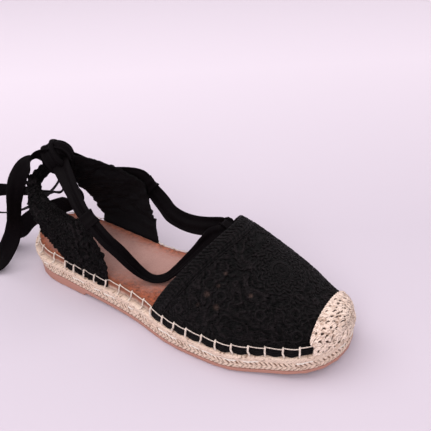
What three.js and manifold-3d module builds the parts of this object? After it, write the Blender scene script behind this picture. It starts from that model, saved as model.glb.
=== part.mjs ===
// Right espadrille with a crocheted vamp, two heel wings and a ribbon tie.
// Millimetres, +Z up, +X towards the toe, +Y towards the medial side.
// The origin is on the floor under the middle of the heel seat.
import * as THREE from 'three';
import { mergeVertices } from 'three/addons/utils/BufferGeometryUtils.js';
import Module from 'manifold-3d';

const wasm = await Module();
wasm.setup();

// Driving sizes of the sole
const LENGTH = 250;
const HEEL_WIDTH = 61.8;
const BALL_WIDTH = 86.2;
const HEEL_SEAT = 30;        // from the back of the heel to the origin
const HEEL_ROUND = 35;       // length of the rounded back of the outline
const TOE_ROUND = 50;        // length of the rounded front of the outline
const TOE_SQUARE = 2.2;      // 2 is an ellipse, more is squarer
const CREST_ROUND = 47;      // length over which the crest drops to the toe
const CREST_SQUARE = 2.4;
const HEEL_TOP = 24.1;       // stitched top edge over the floor at the heel
const HEEL_RISE = 3;         // how far the edge climbs round the back of the heel
const HEEL_SWELL = 4;        // how far the rope stands out behind the rubber
const TOE_TOP = 20.2;        // the same at the toe, before the toe spring
const TOE_SPRING = 6.9;
const SPRING_START = 180;
const RUBBER = 3.3;
const HEEL_LUG = 7.8;        // rubber under the heel
const BREAST = 62;           // front of the heel lug
const BREAST_RUN = 2.5;
const BREAST_STEP = 2.6;     // how far the waist is lifted behind the arch
const ARCH_END = 130;
const ROPES = 3;             // ropes that show in the side of the midsole
const ROPE_RELIEF = 0.9;
const ROPE_INSET = 0.2;      // from the outline to the crown of each rope
const ROPE_CROWN = 0.5;      // flat share of a rope's height
const RUBBER_LIP = 0.2;
const RUBBER_CHAMFER = 1.2;
const LEDGE_BEVEL = 1;       // bevel of the midsole under the rim of the insole

// Driving sizes of the insole and the upper
const GAP = 0.3;
const SOCK = 1.2;
const RIM = 1;
const RIM_DROP = 4.2;
const RIM_BEAD = 0.85;       // height of the rim's rounded corner as a share of the sock
const DISH = 5;              // width of the raised margin inside the rim
const DISH_DEPTH = 0.75;     // sock left inside the margin
const UPPER_INSET = 2.6;     // from the outline of the sole to the outside of the upper
const UPPER_WALL = 1.4;
const LAP_DROP = 5.4;         // margin of the upper below the stitched edge
const LAP_FLARE = 1.4;
const INSTEP = 56;           // crest of the vamp over the stitched edge
const THROAT_CORNER = 130;   // from the back of the heel to the corners of the throat
const THROAT_PEAK = 168;
const THROAT_CURVE = 1.3;
const CAP_CORNER = 14;       // from the front of the sole back to the corners of the cap
const CAP_PEAK = 16;         // the same at the top of its rear edge
const CAP_WALL = 1.3;

// Driving sizes of the wings and the tie
const LATERAL_FEET = [87, 47];   // front and rear end of the seam, from the back of the heel
const MEDIAL_FEET = [91, 36];
const WING_WALL = 1.4;
const KNOT_HEIGHT = 90;
const KNOT = [25, 1, 88];
const KNOT_RADII = [9, 9.5, 11];
const KNOT_LOBES = 0.08;
const KNOT_TURNS = 3;
const KNOT_MESH = [24, 14];
const RIBBON = 13;
const RIBBON_THICK = 1;
const FOLD = 0.7;            // width left where the ribbon is gathered
const KEEPER_WALL = 0.8;
const KEEPER_CLEAR = 0.7;
const KEEPER_LEAD = 3;       // straight ribbon on each side of a keeper
const TIE_CLEAR = 3.2;       // from the wing to the ribbon that runs beside it

// Outline of the sole: shares of the length, of half the heel, of half the ball width.
// The centre is a share of the ball width, towards the medial side.
const OUTLINE = [
  { at: 0, heel: 1, ball: 0, centre: 0.009 },
  { at: 0.15, heel: 0.98, ball: 0, centre: -0.017 },
  { at: 0.3, heel: 0.98, ball: 0, centre: -0.045 },
  { at: 0.45, heel: 0.52, ball: 0.367, centre: -0.063 },
  { at: 0.6, heel: 0.2, ball: 0.843, centre: -0.03 },
  { at: 0.73, heel: 0, ball: 1, centre: -0.027 },
  { at: 0.87, heel: 0, ball: 0.847, centre: 0.001 },
  { at: 1, heel: 0, ball: 0.914, centre: 0.032 },
];

// Last of the vamp: crest over the stitched edge as a share of the instep, the exponent
// of the section and the shift of the crest as a share of the ball width.
const LAST = [
  { at: 0.5, crest: 1.109, power: 1.75, shift: 0.085 },
  { at: 0.672, crest: 0.965, power: 1.74, shift: 0.113 },
  { at: 0.76, crest: 0.756, power: 1.84, shift: 0.1 },
  { at: 0.86, crest: 0.515, power: 2.05, shift: 0.04 },
  { at: 0.93, crest: 0.265, power: 2.0, shift: 0.02 },
  { at: 1, crest: 0.27, power: 2.0, shift: 0 },
];

// Wings: front and rear edge of each row over the stitched edge. x is a share of the
// length, y of half the heel width, z of the knot height, bow of half the heel width.
const LATERAL_WING = [
  { front: [0.357, -1.07, 0.37], rear: [0.17, -0.95, 0.33], bow: 0.06 },
  { front: [0.356, -1.07, 0.45], rear: [0.152, -0.93, 0.37], bow: 0.08 },
  { front: [0.346, -1.06, 0.54], rear: [0.122, -0.9, 0.415], bow: 0.1 },
  { front: [0.33, -1.04, 0.615], rear: [0.094, -0.85, 0.49], bow: 0.11 },
  { front: [0.302, -1.0, 0.71], rear: [0.066, -0.79, 0.585], bow: 0.1 },
  { front: [0.24, -0.87, 0.7], rear: [0.047, -0.7, 0.68], bow: 0.08 },
  { front: [0.17, -0.77, 0.72], rear: [0.038, -0.62, 0.76], bow: 0.06 },
  { front: [0.1, -0.6, 0.745], rear: [0.038, -0.5, 0.83], bow: 0.03 },
  { front: [0.068, -0.42, 0.78], rear: [0.046, -0.34, 0.88], bow: 0 },
  { front: [0.072, -0.2, 0.83], rear: [0.062, -0.16, 0.93], bow: 0 },
  { front: [0.086, -0.05, 0.87], rear: [0.082, -0.02, 0.97], bow: 0 },
];
const MEDIAL_WING = [
  { front: [0.352, 0.8, 0.33], rear: [0.14, 0.9, 0.31], bow: 0.05 },
  { front: [0.34, 0.88, 0.42], rear: [0.128, 0.89, 0.35], bow: 0.08 },
  { front: [0.32, 0.95, 0.52], rear: [0.118, 0.86, 0.41], bow: 0.1 },
  { front: [0.313, 0.98, 0.62], rear: [0.112, 0.8, 0.47], bow: 0.11 },
  { front: [0.3, 0.97, 0.72], rear: [0.108, 0.7, 0.53], bow: 0.1 },
  { front: [0.26, 0.9, 0.79], rear: [0.1, 0.6, 0.6], bow: 0.08 },
  { front: [0.21, 0.76, 0.86], rear: [0.097, 0.46, 0.68], bow: 0.06 },
  { front: [0.165, 0.52, 0.925], rear: [0.1, 0.3, 0.77], bow: 0.03 },
  { front: [0.13, 0.25, 0.98], rear: [0.105, 0.14, 0.87], bow: 0 },
  { front: [0.11, 0.1, 1], rear: [0.102, 0.06, 0.94], bow: 0 },
];

// Loops that hold the tie: middle, the way the ribbon runs, the way its width lies, the
// length of the loop and the share of the ribbon's width left by a fold there.
const KEEPERS = {
  lateral: {
    at: [77.5, -29.5, 68.5],
    along: [0.82, -0.14, -0.56],
    across: [0.5, 0.62, 0.35],
    length: 10,
    fold: 0.8,
  },
  vamp: { at: [164, 7.5, 67], along: [0.1, 1, 0], across: [-0.93, 0, 0.36], length: 7, fold: 1 },
  medial: { at: [77, 35, 60.8], along: [-0.66, 0, 0.6], across: [0.66, 0.18, 0.68], length: 9, fold: 1 },
};

// Route of the tie: middle of the ribbon, the way its width lies and the share of the
// width left by a fold. A keeper's name stands for the straight stretch through it.
const TIE = [
  { at: [25, 1, 88], across: [0.5, 0.62, 0.35] },
  { at: [33, -5, 87], across: [0.5, 0.62, 0.35] },
  { at: [45, -13, 83.8], across: [0.5, 0.62, 0.35], fold: 0.9 },
  { at: [57, -20.5, 79.5], across: [0.5, 0.62, 0.35], fold: 0.8 },
  { through: 'lateral' },
  { at: [91.5, -30.5, 57], across: [0.35, 0.75, 0.4], fold: FOLD },
  { at: [97.5, -27.5, 48.8], across: [0.1, 0.85, 0.35], fold: FOLD },
  { at: [102.5, -23.5, 38.2], across: [-0.1, 0.95, 0.22], fold: FOLD },
  { at: [107.5, -19.3, 28.8], across: [-0.3, 0.95, 0.12], fold: FOLD },
  { at: [112.2, -17, 24.6], across: [-0.45, 0.9, 0.04], fold: FOLD },
  { at: [116.7, -14.3, 23], across: [-0.53, 0.85, 0], fold: FOLD },
  { at: [123, -11.2, 25.2], across: [-0.55, 0.8, 0.05], fold: FOLD },
  { at: [129.4, -8.2, 31.4], across: [-0.6, 0.7, 0.15], fold: FOLD },
  { at: [136, -5.5, 39.4], across: [-0.6, 0.6, 0.3], fold: FOLD },
  { at: [143, -3, 48.5], across: [-0.65, 0.5, 0.4], fold: FOLD },
  { at: [149.5, -1.3, 57], across: [-0.75, 0.3, 0.45], fold: FOLD },
  { at: [156.5, -1, 63.5], across: [-0.88, 0.1, 0.4] },
  { through: 'vamp' },
  { at: [158.5, 16.2, 63.5], across: [-0.65, -0.2, 0.6] },
  { at: [148, 17.5, 58], across: [-0.2, 0.2, 0.9] },
  { at: [135, 18, 53.8], across: [0.05, 0.4, 0.9] },
  { at: [123, 20.5, 50.5], across: [0.1, 0.45, 0.89] },
  { at: [112, 23.5, 48.8], across: [0.1, 0.45, 0.89] },
  { at: [101.5, 27, 48.8], across: [0.1, 0.5, 0.8] },
  { at: [92, 32, 51], across: [0.3, 0.4, 0.8] },
  { through: 'medial' },
  { beside: 5, share: 0.375 },
  { beside: 6, share: 0.5 },
  { beside: 7, share: 0.5 },
  { at: [25, 1, 88], across: [-0.1, 0.2, 0.97] },
];

// Free ribbon behind the heel: middle of the ribbon, the way its width lies and its fold
const BOW_LOOP = [
  { at: [25, 1, 84], across: [0.8, -0.5, -0.2] },
  { at: [25.3, -2.7, 76.5], across: [0.75, -0.65, 0], fold: FOLD },
  { at: [27.6, -1, 68.5], across: [0.7, -0.7, 0], fold: FOLD },
  { at: [23.5, 0, 60.5], across: [0.35, -0.85, 0.3], fold: FOLD },
  { at: [12, -1.2, 56.8], across: [0, -0.8, 0.6], fold: FOLD },
  { at: [2, -2.5, 54.5], across: [-0.1, -0.6, 0.8] },
  { at: [-13, -8, 54.8], across: [-0.1, -0.45, 0.8] },
  { at: [-28, -14, 54.5], across: [-0.2, -0.4, 0.85] },
  { at: [-42, -19.5, 51], across: [-0.2, -0.3, 0.9] },
  { at: [-51, -21, 43], across: [0.2, -0.3, 0.9] },
  { at: [-49, -17, 34], across: [0.3, -0.6, 0.7] },
  { at: [-38, -12, 29.5], across: [0.3, -0.75, 0.5] },
  { at: [-22, -4, 32.5], across: [0.3, -0.8, 0.45] },
  { at: [-8, 6, 41], across: [0.3, -0.8, 0.4] },
  { at: [3, 13, 53], across: [0.4, -0.8, 0.2] },
  { at: [12, 13.5, 67], across: [0.5, -0.8, -0.1] },
  { at: [19, 7.5, 79], across: [0.5, -0.8, -0.2] },
  { at: [25, 1, 88], across: [0.5, -0.8, -0.2] },
];
const LATERAL_END = [
  { at: [25, 1, 88], across: [0.3, 0.2, 0.9] },
  { at: [20, -6, 91.5], across: [0.55, 0.1, 0.8] },
  { at: [14.5, -10.5, 90.5], across: [0.75, 0.1, 0.6] },
  { at: [9, -14.5, 86], across: [0.85, 0.15, 0.3] },
  { at: [3.5, -18.5, 78], across: [0.85, 0.25, -0.1] },
  { at: [0.8, -22.5, 67.5], across: [0.45, 0.8, -0.3] },
  { at: [-0.5, -26, 55.5], across: [0.05, 0.9, -0.3] },
  { at: [-1, -29, 44.5], across: [0, 0.9, -0.2] },
  { at: [-2.5, -32, 33.5], across: [0.35, 0.85, -0.3] },
  { at: [-8.5, -36, 19], across: [0.85, 0.2, -0.4] },
  { at: [-15.5, -41, 6.5], across: [0.75, -0.4, -0.2] },
  { at: [-25, -48, 1.4], across: [0.6, -0.75, 0] },
  { at: [-37, -57, 0.9], across: [0.6, -0.75, 0] },
  { at: [-49, -67, 0.9], across: [0.6, -0.75, 0] },
  { at: [-60, -77, 0.9], across: [0.65, -0.7, 0] },
  { at: [-70, -88, 0.9], across: [0.7, -0.65, 0] },
];
const MEDIAL_END = [
  { at: [25, 1, 88], across: [0.7, 0.5, 0.1] },
  { at: [28.9, 0.4, 76], across: [0.75, -0.65, 0] },
  { at: [32, 3.6, 66], across: [0.6, -0.7, 0.1] },
  { at: [34.3, 5, 57], across: [0.4, -0.8, 0.2] },
  { at: [30.5, 4.3, 50.5], across: [-0.1, -0.6, 0.7] },
  { at: [21.5, 3, 46.5], across: [-0.4, -0.2, 0.9] },
  { at: [11.5, 1, 41.5], across: [-0.5, 0, 0.85] },
  { at: [-1, -2.5, 35], across: [-0.5, 0, 0.8] },
  { at: [-14, -7, 26], across: [-0.5, -0.2, 0.8] },
  { at: [-23, -12, 13], across: [-0.3, -0.8, 0.5] },
  { at: [-31, -17, 5], across: [0.35, -0.9, 0] },
  { at: [-38, -21.2, 1.9], across: [0.45, -0.88, 0] },
  { at: [-47, -26.6, 0.9], across: [0.5, -0.85, 0] },
  { at: [-59, -34, 0.9], across: [-0.5, -0.85, 0] },
  { at: [-71, -43, 0.9], across: [-0.55, -0.8, 0] },
  { at: [-82, -53, 0.9], across: [-0.65, -0.75, 0] },
];

const vector = (list) => new THREE.Vector3(...list);

// Monotone cubic through one column of a table
function column(rows, key) {
  const x = rows.map((row) => row.at);
  const y = rows.map((row) => row[key]);
  const slope = x.slice(1).map((next, i) => (y[i + 1] - y[i]) / (next - x[i]));
  const tangent = y.map((_, i) => {
    if (i === 0) return slope[0];
    if (i === y.length - 1) return slope[i - 1];
    const [a, b] = [slope[i - 1], slope[i]];
    return a * b <= 0 ? 0 : (2 * a * b) / (a + b);
  });
  return (at) => {
    const t = Math.min(Math.max(at, x[0]), x[x.length - 1]);
    let i = 0;
    while (i < x.length - 2 && t > x[i + 1]) i += 1;
    const h = x[i + 1] - x[i];
    const u = (t - x[i]) / h;
    return y[i] * (1 + 2 * u) * (1 - u) ** 2 + y[i + 1] * u * u * (3 - 2 * u)
      + h * tangent[i] * u * (1 - u) ** 2 + h * tangent[i + 1] * u * u * (u - 1);
  };
}

const heelShare = column(OUTLINE, 'heel');
const ballShare = column(OUTLINE, 'ball');
const centreShare = column(OUTLINE, 'centre');
const crestShare = column(LAST, 'crest');
const sectionPower = column(LAST, 'power');
const crestShift = column(LAST, 'shift');
const smooth = (u) => u * u * (3 - 2 * u);
const clamp01 = (u) => Math.min(Math.max(u, 0), 1);
const mix = (a, b, u) => a + (b - a) * u;
const mixPoint = (a, b, u) => a.map((value, i) => mix(value, b[i], u));

// Half width of the outline, moved inwards by inset
function halfWidth(x, inset) {
  const share = x / LENGTH;
  const wide = (heelShare(share) * HEEL_WIDTH + ballShare(share) * BALL_WIDTH) / 2 - inset;
  const heelRun = HEEL_ROUND - inset;
  const toeRun = TOE_ROUND - inset;
  const heel = clamp01(1 - (x - inset) / heelRun);
  const toe = clamp01(1 - (LENGTH - inset - x) / toeRun);
  return wide * Math.sqrt(1 - heel ** 2) * (1 - toe ** TOE_SQUARE) ** (1 / TOE_SQUARE);
}
const centre = (x) => centreShare(x / LENGTH) * BALL_WIDTH;
const edgePoint = (x, side, inset, z) => [x, centre(x) + side * halfWidth(x, inset), z];

// Heights along the sole
const spring = (x) => TOE_SPRING * clamp01((x - SPRING_START) / (LENGTH - SPRING_START)) ** 2;
function edgeTop(x) {
  const fall = clamp01((x - HEEL_ROUND) / (SPRING_START - HEEL_ROUND));
  const back = clamp01(1 - x / HEEL_ROUND);
  return mix(HEEL_TOP, TOE_TOP, smooth(fall)) + spring(x) + HEEL_RISE * back ** 2;
}
const ropeTop = (x) => edgeTop(x) - SOCK - GAP;
function rubberTop(x) {
  const fall = clamp01((x - HEEL_ROUND) / (ARCH_END - HEEL_ROUND));
  return mix(HEEL_LUG, RUBBER, smooth(fall)) + spring(x);
}
function rubberBottom(x) {
  const lift = clamp01((x - BREAST) / BREAST_RUN);
  const arch = 1 - smooth(clamp01((x - BREAST) / (ARCH_END - BREAST)));
  return spring(x) + BREAST_STEP * lift * arch;
}
const ropeInset = (drop) => UPPER_INSET + UPPER_WALL + RIM + 2 * GAP - LAP_FLARE * drop / LAP_DROP;

// The rope and the insole swell backwards round the heel above the rubber
function swell([x, y, z]) {
  const back = smooth(clamp01(1 - x / HEEL_ROUND));
  const high = clamp01((z - HEEL_LUG) / HEEL_LUG);
  const grow = 1 + (HEEL_SWELL / HEEL_ROUND) * back * high;
  const middle = centre(HEEL_ROUND);
  return back > 0 ? [HEEL_ROUND + (x - HEEL_ROUND) * grow, middle + (y - middle) * grow, z] : [x, y, z];
}

// Stations from the heel to the toe, close together in both rounded ends
const END_STEPS = 6;
const MIDDLE = [0.19, 0.248, 0.258, 0.31, 0.36, 0.41, 0.46, 0.51, 0.56, 0.615, 0.67, 0.72, 0.765];
function stations(inset) {
  const end = [...Array(END_STEPS).keys()].map((i) => 1 - Math.cos(((i + 1) / END_STEPS) * Math.PI / 2));
  const heel = end.map((u) => inset + (HEEL_ROUND - inset) * u);
  const toe = end.map((u) => LENGTH - inset - (TOE_ROUND - inset) * u).reverse();
  const middle = MIDDLE.map((share) => share * LENGTH);
  middle[1] = BREAST;
  middle[2] = BREAST + BREAST_RUN;
  return [...heel, ...middle, ...toe];
}

// Indexed triangles gathered into one closed body
class Body {
  constructor() {
    this.points = [];
    this.faces = [];
  }

  add(point) {
    return this.points.push(point) - 1;
  }

  quad(a, b, c, d) {
    this.faces.push([a, b, c], [a, c, d]);
  }

  // A strip between two rows of the same count
  strip(low, high, closed) {
    const last = closed ? low.length : low.length - 1;
    for (let i = 0; i < last; i += 1) {
      const j = (i + 1) % low.length;
      this.quad(low[i], low[j], high[j], high[i]);
    }
  }

  geometry() {
    const raw = new THREE.BufferGeometry();
    raw.setAttribute('position', new THREE.Float32BufferAttribute(this.points.flat(), 3));
    raw.setIndex(this.faces.flat());
    const merged = mergeVertices(raw, 1e-4);
    const index = merged.getIndex().array;
    const kept = [];
    for (let i = 0; i < index.length; i += 3) {
      const [a, b, c] = index.slice(i, i + 3);
      if (a !== b && b !== c && c !== a) kept.push(a, b, c);
    }
    merged.setIndex(kept);
    return outward(merged);
  }
}

// Turn a closed geometry so that its faces point out
function outward(geometry) {
  const p = geometry.getAttribute('position');
  const index = Array.from(geometry.getIndex().array);
  const [a, b, c] = [new THREE.Vector3(), new THREE.Vector3(), new THREE.Vector3()];
  let volume = 0;
  for (let i = 0; i < index.length; i += 3) {
    a.fromBufferAttribute(p, index[i]);
    b.fromBufferAttribute(p, index[i + 1]);
    c.fromBufferAttribute(p, index[i + 2]);
    volume += a.dot(b.cross(c));
  }
  if (volume < 0) index.reverse();
  geometry.setIndex(index);
  geometry.computeVertexNormals();
  return geometry;
}

// A body from loops round the outline, closed by a disc below and one above
const DISC_STEPS = 4;
function layered(loops) {
  const body = new Body();
  const rings = loops.map(({ inset, z }) => {
    const xs = stations(inset);
    const heel = body.add(swell([inset, centre(inset), z(inset)]));
    const lateral = xs.map((x) => body.add(swell(edgePoint(x, -1, inset, z(x)))));
    const toe = body.add([LENGTH - inset, centre(LENGTH - inset), z(LENGTH - inset)]);
    const medial = xs.map((x) => body.add(swell(edgePoint(x, 1, inset, z(x)))));
    return { heel, lateral, toe, medial, all: [heel, ...lateral, toe, ...[...medial].reverse()] };
  });
  rings.slice(1).forEach((ring, i) => body.strip(rings[i].all, ring.all, true));
  const disc = (ring, flip) => {
    const rows = ring.lateral.map((start, i) => {
      const end = ring.medial[i];
      const inner = [...Array(DISC_STEPS - 1).keys()].map((k) => body.add(
        mixPoint(body.points[start], body.points[end], (k + 1) / DISC_STEPS)));
      return [start, ...inner, end];
    });
    const faces = [];
    const fan = (tip, row, turn) => row.slice(1).forEach((next, i) => {
      faces.push(turn ? [tip, next, row[i]] : [tip, row[i], next]);
    });
    fan(ring.heel, rows[0], false);
    rows.slice(1).forEach((row, i) => row.slice(1).forEach((next, k) => {
      faces.push([rows[i][k], row[k], next], [rows[i][k], next, rows[i][k + 1]]);
    }));
    fan(ring.toe, rows[rows.length - 1], true);
    faces.forEach(([a, b, c]) => body.faces.push(flip ? [a, c, b] : [a, b, c]));
  };
  disc(rings[0], true);
  disc(rings[rings.length - 1], false);
  return body.geometry();
}

function outsole() {
  return layered([
    { inset: RUBBER_LIP + RUBBER_CHAMFER, z: rubberBottom },
    { inset: RUBBER_LIP, z: (x) => rubberBottom(x) + RUBBER_CHAMFER },
    { inset: RUBBER_LIP, z: (x) => rubberTop(x) - RUBBER_LIP },
    { inset: 2 * RUBBER_LIP, z: rubberTop },
  ]);
}

function midsole() {
  const low = (x) => rubberTop(x) + GAP;
  const ledge = (x) => ropeTop(x) - LAP_DROP;
  const row = (share) => (x) => mix(low(x), ledge(x), share);
  const loops = [{ inset: ROPE_RELIEF, z: low }];
  for (let rope = 0; rope < ROPES; rope += 1) {
    loops.push({ inset: ROPE_INSET, z: row((rope + ROPE_CROWN / 2) / ROPES) });
    loops.push({ inset: ROPE_INSET, z: row((rope + 1 - ROPE_CROWN / 2) / ROPES) });
    loops.push({ inset: ROPE_RELIEF + ROPE_INSET, z: row((rope + 1) / ROPES) });
  }
  loops.push({ inset: ropeInset(LAP_DROP), z: ledge });
  loops.push({ inset: ropeInset(LEDGE_BEVEL), z: (x) => ropeTop(x) - LEDGE_BEVEL });
  loops.push({ inset: ropeInset(0) + LEDGE_BEVEL, z: ropeTop });
  return layered(loops);
}

function insole() {
  const under = (x) => ropeTop(x) + GAP;
  const at = (drop) => (x) => ropeTop(x) - drop;
  return layered([
    { inset: ropeInset(0) + LEDGE_BEVEL, z: under },
    { inset: ropeInset(0) - GAP, z: at(0) },
    { inset: ropeInset(RIM_DROP) - GAP, z: at(RIM_DROP) },
    { inset: ropeInset(RIM_DROP) - GAP - RIM, z: at(RIM_DROP) },
    { inset: ropeInset(0) - GAP - RIM, z: at(-GAP) },
    { inset: ropeInset(0) - GAP - RIM / 2, z: (x) => under(x) + SOCK * RIM_BEAD },
    { inset: ropeInset(0) + RIM / 2, z: (x) => under(x) + SOCK },
    { inset: ropeInset(0) + DISH, z: (x) => under(x) + SOCK * DISH_DEPTH },
  ]);
}

// A point of the last, set out or in from the upper's outer face.
// turn runs from 0 at the lateral edge over the crest to 1 at the medial edge.
function lastPoint(x, turn, depth) {
  const inset = UPPER_INSET + depth;
  const share = x / LENGTH;
  const power = 2 / sectionPower(share);
  const angle = turn * Math.PI;
  const wide = halfWidth(x, inset);
  const toeRun = CREST_ROUND - inset;
  const toe = clamp01(1 - (LENGTH - inset - x) / toeRun);
  const tall = (crestShare(share) * INSTEP - depth) * (1 - toe ** CREST_SQUARE) ** (1 / CREST_SQUARE);
  const side = -Math.sign(Math.cos(angle)) * Math.abs(Math.cos(angle)) ** power;
  const rise = Math.max(Math.sin(angle), 0) ** power;
  const y = centre(x) + side * wide + rise * crestShift(share) * BALL_WIDTH * (wide / (BALL_WIDTH / 2));
  return [x, y, edgeTop(x) + rise * tall];
}

// A hollow shell on the last, open behind its front line and underneath
const LAP_STEPS = 2;
const ARCH_STEPS = 18;
const TOE_CROWDING = 1.15;
function lastShell({ start, depth, wall, rows, drop }) {
  const body = new Body();
  const face = (set) => {
    const tip = LENGTH - UPPER_INSET - set;
    return [...Array(rows + 1).keys()].map((k) => {
      const run = Math.sin((k / rows) * Math.PI / 2) ** TOE_CROWDING;
      const lap = (side) => [...Array(LAP_STEPS).keys()].map((i) => {
        const share = 1 - i / LAP_STEPS;
        const inset = UPPER_INSET + set - LAP_FLARE * share * drop / LAP_DROP;
        const x = mix(start(0), LENGTH - inset, run);
        return body.add(edgePoint(x, side, inset, edgeTop(x) - drop * share));
      });
      const arch = [...Array(ARCH_STEPS + 1).keys()].map((i) => {
        const turn = i / ARCH_STEPS;
        return body.add(lastPoint(mix(start(Math.sin(turn * Math.PI)), tip, run), turn, set));
      });
      return [...lap(-1), ...arch, ...lap(1).reverse()];
    });
  };
  const outer = face(depth);
  const inner = face(depth + wall);
  outer.slice(1).forEach((row, k) => body.strip(outer[k], row, false));
  inner.slice(1).forEach((row, k) => body.strip(row, inner[k], false));
  body.strip(inner[0], outer[0], false);
  const line = (grid, j) => grid.map((row) => row[j]);
  const last = outer[0].length - 1;
  body.strip(line(outer, 0), line(inner, 0), false);
  body.strip(line(inner, last), line(outer, last), false);
  return body.geometry();
}

const throat = (height) => mix(THROAT_CORNER, THROAT_PEAK, height ** THROAT_CURVE);
const capLine = (height) => LENGTH - mix(CAP_CORNER, CAP_PEAK, height);
const vamp = () => lastShell({
  start: throat, depth: 0, wall: UPPER_WALL, rows: 14, drop: LAP_DROP,
});
const toeCap = () => lastShell({
  start: capLine, depth: -1.5 * GAP - CAP_WALL, wall: CAP_WALL, rows: 6, drop: LAP_DROP,
});

// A sheet of even thickness on a grid of points
function slab(grid, thick) {
  const body = new Body();
  const at = (k, j) => new THREE.Vector3(...grid[k][j]);
  const normal = (k, j) => {
    const [k0, k1] = [Math.max(k - 1, 0), Math.min(k + 1, grid.length - 1)];
    const [j0, j1] = [Math.max(j - 1, 0), Math.min(j + 1, grid[0].length - 1)];
    const along = at(k1, j).sub(at(k0, j));
    const across = at(k, j1).sub(at(k, j0));
    return along.cross(across).normalize();
  };
  const face = (set) => grid.map((row, k) => row.map((_, j) => body.add(
    at(k, j).addScaledVector(normal(k, j), set).toArray())));
  const outer = face(thick / 2);
  const inner = face(-thick / 2);
  outer.slice(1).forEach((row, k) => body.strip(outer[k], row, false));
  inner.slice(1).forEach((row, k) => body.strip(row, inner[k], false));
  body.strip(inner[0], outer[0], false);
  body.strip(outer[grid.length - 1], inner[grid.length - 1], false);
  const line = (rows, j) => rows.map((row) => row[j]);
  const last = grid[0].length - 1;
  body.strip(line(outer, 0), line(inner, 0), false);
  body.strip(line(inner, last), line(outer, last), false);
  return body.geometry();
}

// Grid of a wing's middle surface: three rows over the edge of the sole, then the table
const WING_STEPS = 8;
const SEAM_ROWS = 3;
function wingGrid(table, side, [front, rear]) {
  const columns = [...Array(WING_STEPS + 1).keys()].map((i) => i / WING_STEPS);
  const onSole = (drop) => columns.map((u) => {
    const x = mix(front, rear, u);
    const inset = UPPER_INSET + WING_WALL / 2 - LAP_FLARE * drop / LAP_DROP;
    return edgePoint(x, side, inset, edgeTop(x) - drop);
  });
  const size = ([x, y, z]) => [x * LENGTH, y * HEEL_WIDTH / 2, z * KNOT_HEIGHT];
  const risen = table.map(({ front: fore, rear: aft, bow }) => columns.map((u) => {
    const [x, y, z] = mixPoint(size(fore), size(aft), u);
    return [x, y + side * bow * HEEL_WIDTH / 2 * 4 * u * (1 - u), z];
  }));
  return [onSole(LAP_DROP), onSole(LAP_DROP / 2), onSole(0), ...risen];
}
// The same wing with its thickness and its two free edges moved out by the gap
function grownWing(grid) {
  const push = (end, next) => {
    const out = vector(end).sub(vector(next)).setLength(2 * GAP);
    return vector(end).add(out).toArray();
  };
  const wider = grid.map((row) => {
    const last = row.length - 1;
    return [push(row[0], row[1]), ...row.slice(1, last), push(row[last], row[last - 1])];
  });
  return slab(wider, WING_WALL + 2 * GAP);
}
const lateralGrid = wingGrid(LATERAL_WING, -1, LATERAL_FEET);
const medialGrid = wingGrid(MEDIAL_WING, 1, MEDIAL_FEET);

// A row of the tie that lies against the outer face of the medial wing
function besideWing(row, share) {
  const line = medialGrid[row + SEAM_ROWS];
  const next = medialGrid[row + SEAM_ROWS + 1];
  const i = Math.round(share * WING_STEPS);
  const across = vector(line[i + 1]).sub(vector(line[i - 1])).normalize();
  const along = vector(next[i]).sub(vector(line[i]));
  const out = across.clone().cross(along).normalize();
  if (out.y < 0) out.negate();
  const away = WING_WALL / 2 + RIBBON_THICK / 2 + TIE_CLEAR;
  return { at: vector(line[i]).addScaledVector(out, away).toArray(), across: across.negate().toArray() };
}

function tieRows() {
  return TIE.flatMap((row) => {
    if (row.beside) return [besideWing(row.beside, row.share)];
    if (!row.through) return [row];
    const { at, along, across, length, fold } = KEEPERS[row.through];
    const reach = length / 2 + KEEPER_LEAD;
    return [-reach, -length / 4, length / 4, reach].map((step) => ({
      at: vector(at).addScaledVector(vector(along).normalize(), step).toArray(), across, fold,
    }));
  });
}

// A flat ribbon through rows of centre points, each with the direction of its width
function ribbon(rows, stepsPerRow) {
  const path = new THREE.CatmullRomCurve3(rows.map((row) => vector(row.at)));
  const steps = (rows.length - 1) * stepsPerRow;
  const grid = [...Array(steps + 1).keys()].map((k) => {
    const u = k / steps;
    const i = Math.min(Math.floor(k / stepsPerRow), rows.length - 2);
    const tangent = path.getTangent(u);
    const across = vector(rows[i].across).normalize()
      .lerp(vector(rows[i + 1].across).normalize(), k / stepsPerRow - i);
    across.addScaledVector(tangent, -across.dot(tangent)).normalize();
    const wide = RIBBON * mix(rows[i].fold ?? 1, rows[i + 1].fold ?? 1, k / stepsPerRow - i);
    return [-0.5, 0.5].map((share) => path.getPoint(u)
      .addScaledVector(across, share * wide).toArray());
  });
  return slab(grid, RIBBON_THICK);
}

// A flat loop of cloth round the ribbon
function keeper({ at, along, across, length, fold }) {
  const half = (wall) => [RIBBON * fold / 2 + KEEPER_CLEAR + wall, RIBBON_THICK / 2 + KEEPER_CLEAR + wall];
  const outline = (form, [w, h]) => form.moveTo(-w, -h).lineTo(w, -h).lineTo(w, h).lineTo(-w, h).closePath();
  const shape = outline(new THREE.Shape(), half(KEEPER_WALL));
  shape.holes.push(outline(new THREE.Path(), half(0)));
  const geometry = new THREE.ExtrudeGeometry(shape, { depth: length, bevelEnabled: false });
  geometry.translate(0, 0, -length / 2);
  const z = vector(along).normalize();
  const x = vector(across).addScaledVector(z, -vector(across).dot(z)).normalize();
  geometry.applyMatrix4(new THREE.Matrix4().makeBasis(x, z.clone().cross(x), z).setPosition(...at));
  return geometry;
}

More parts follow.
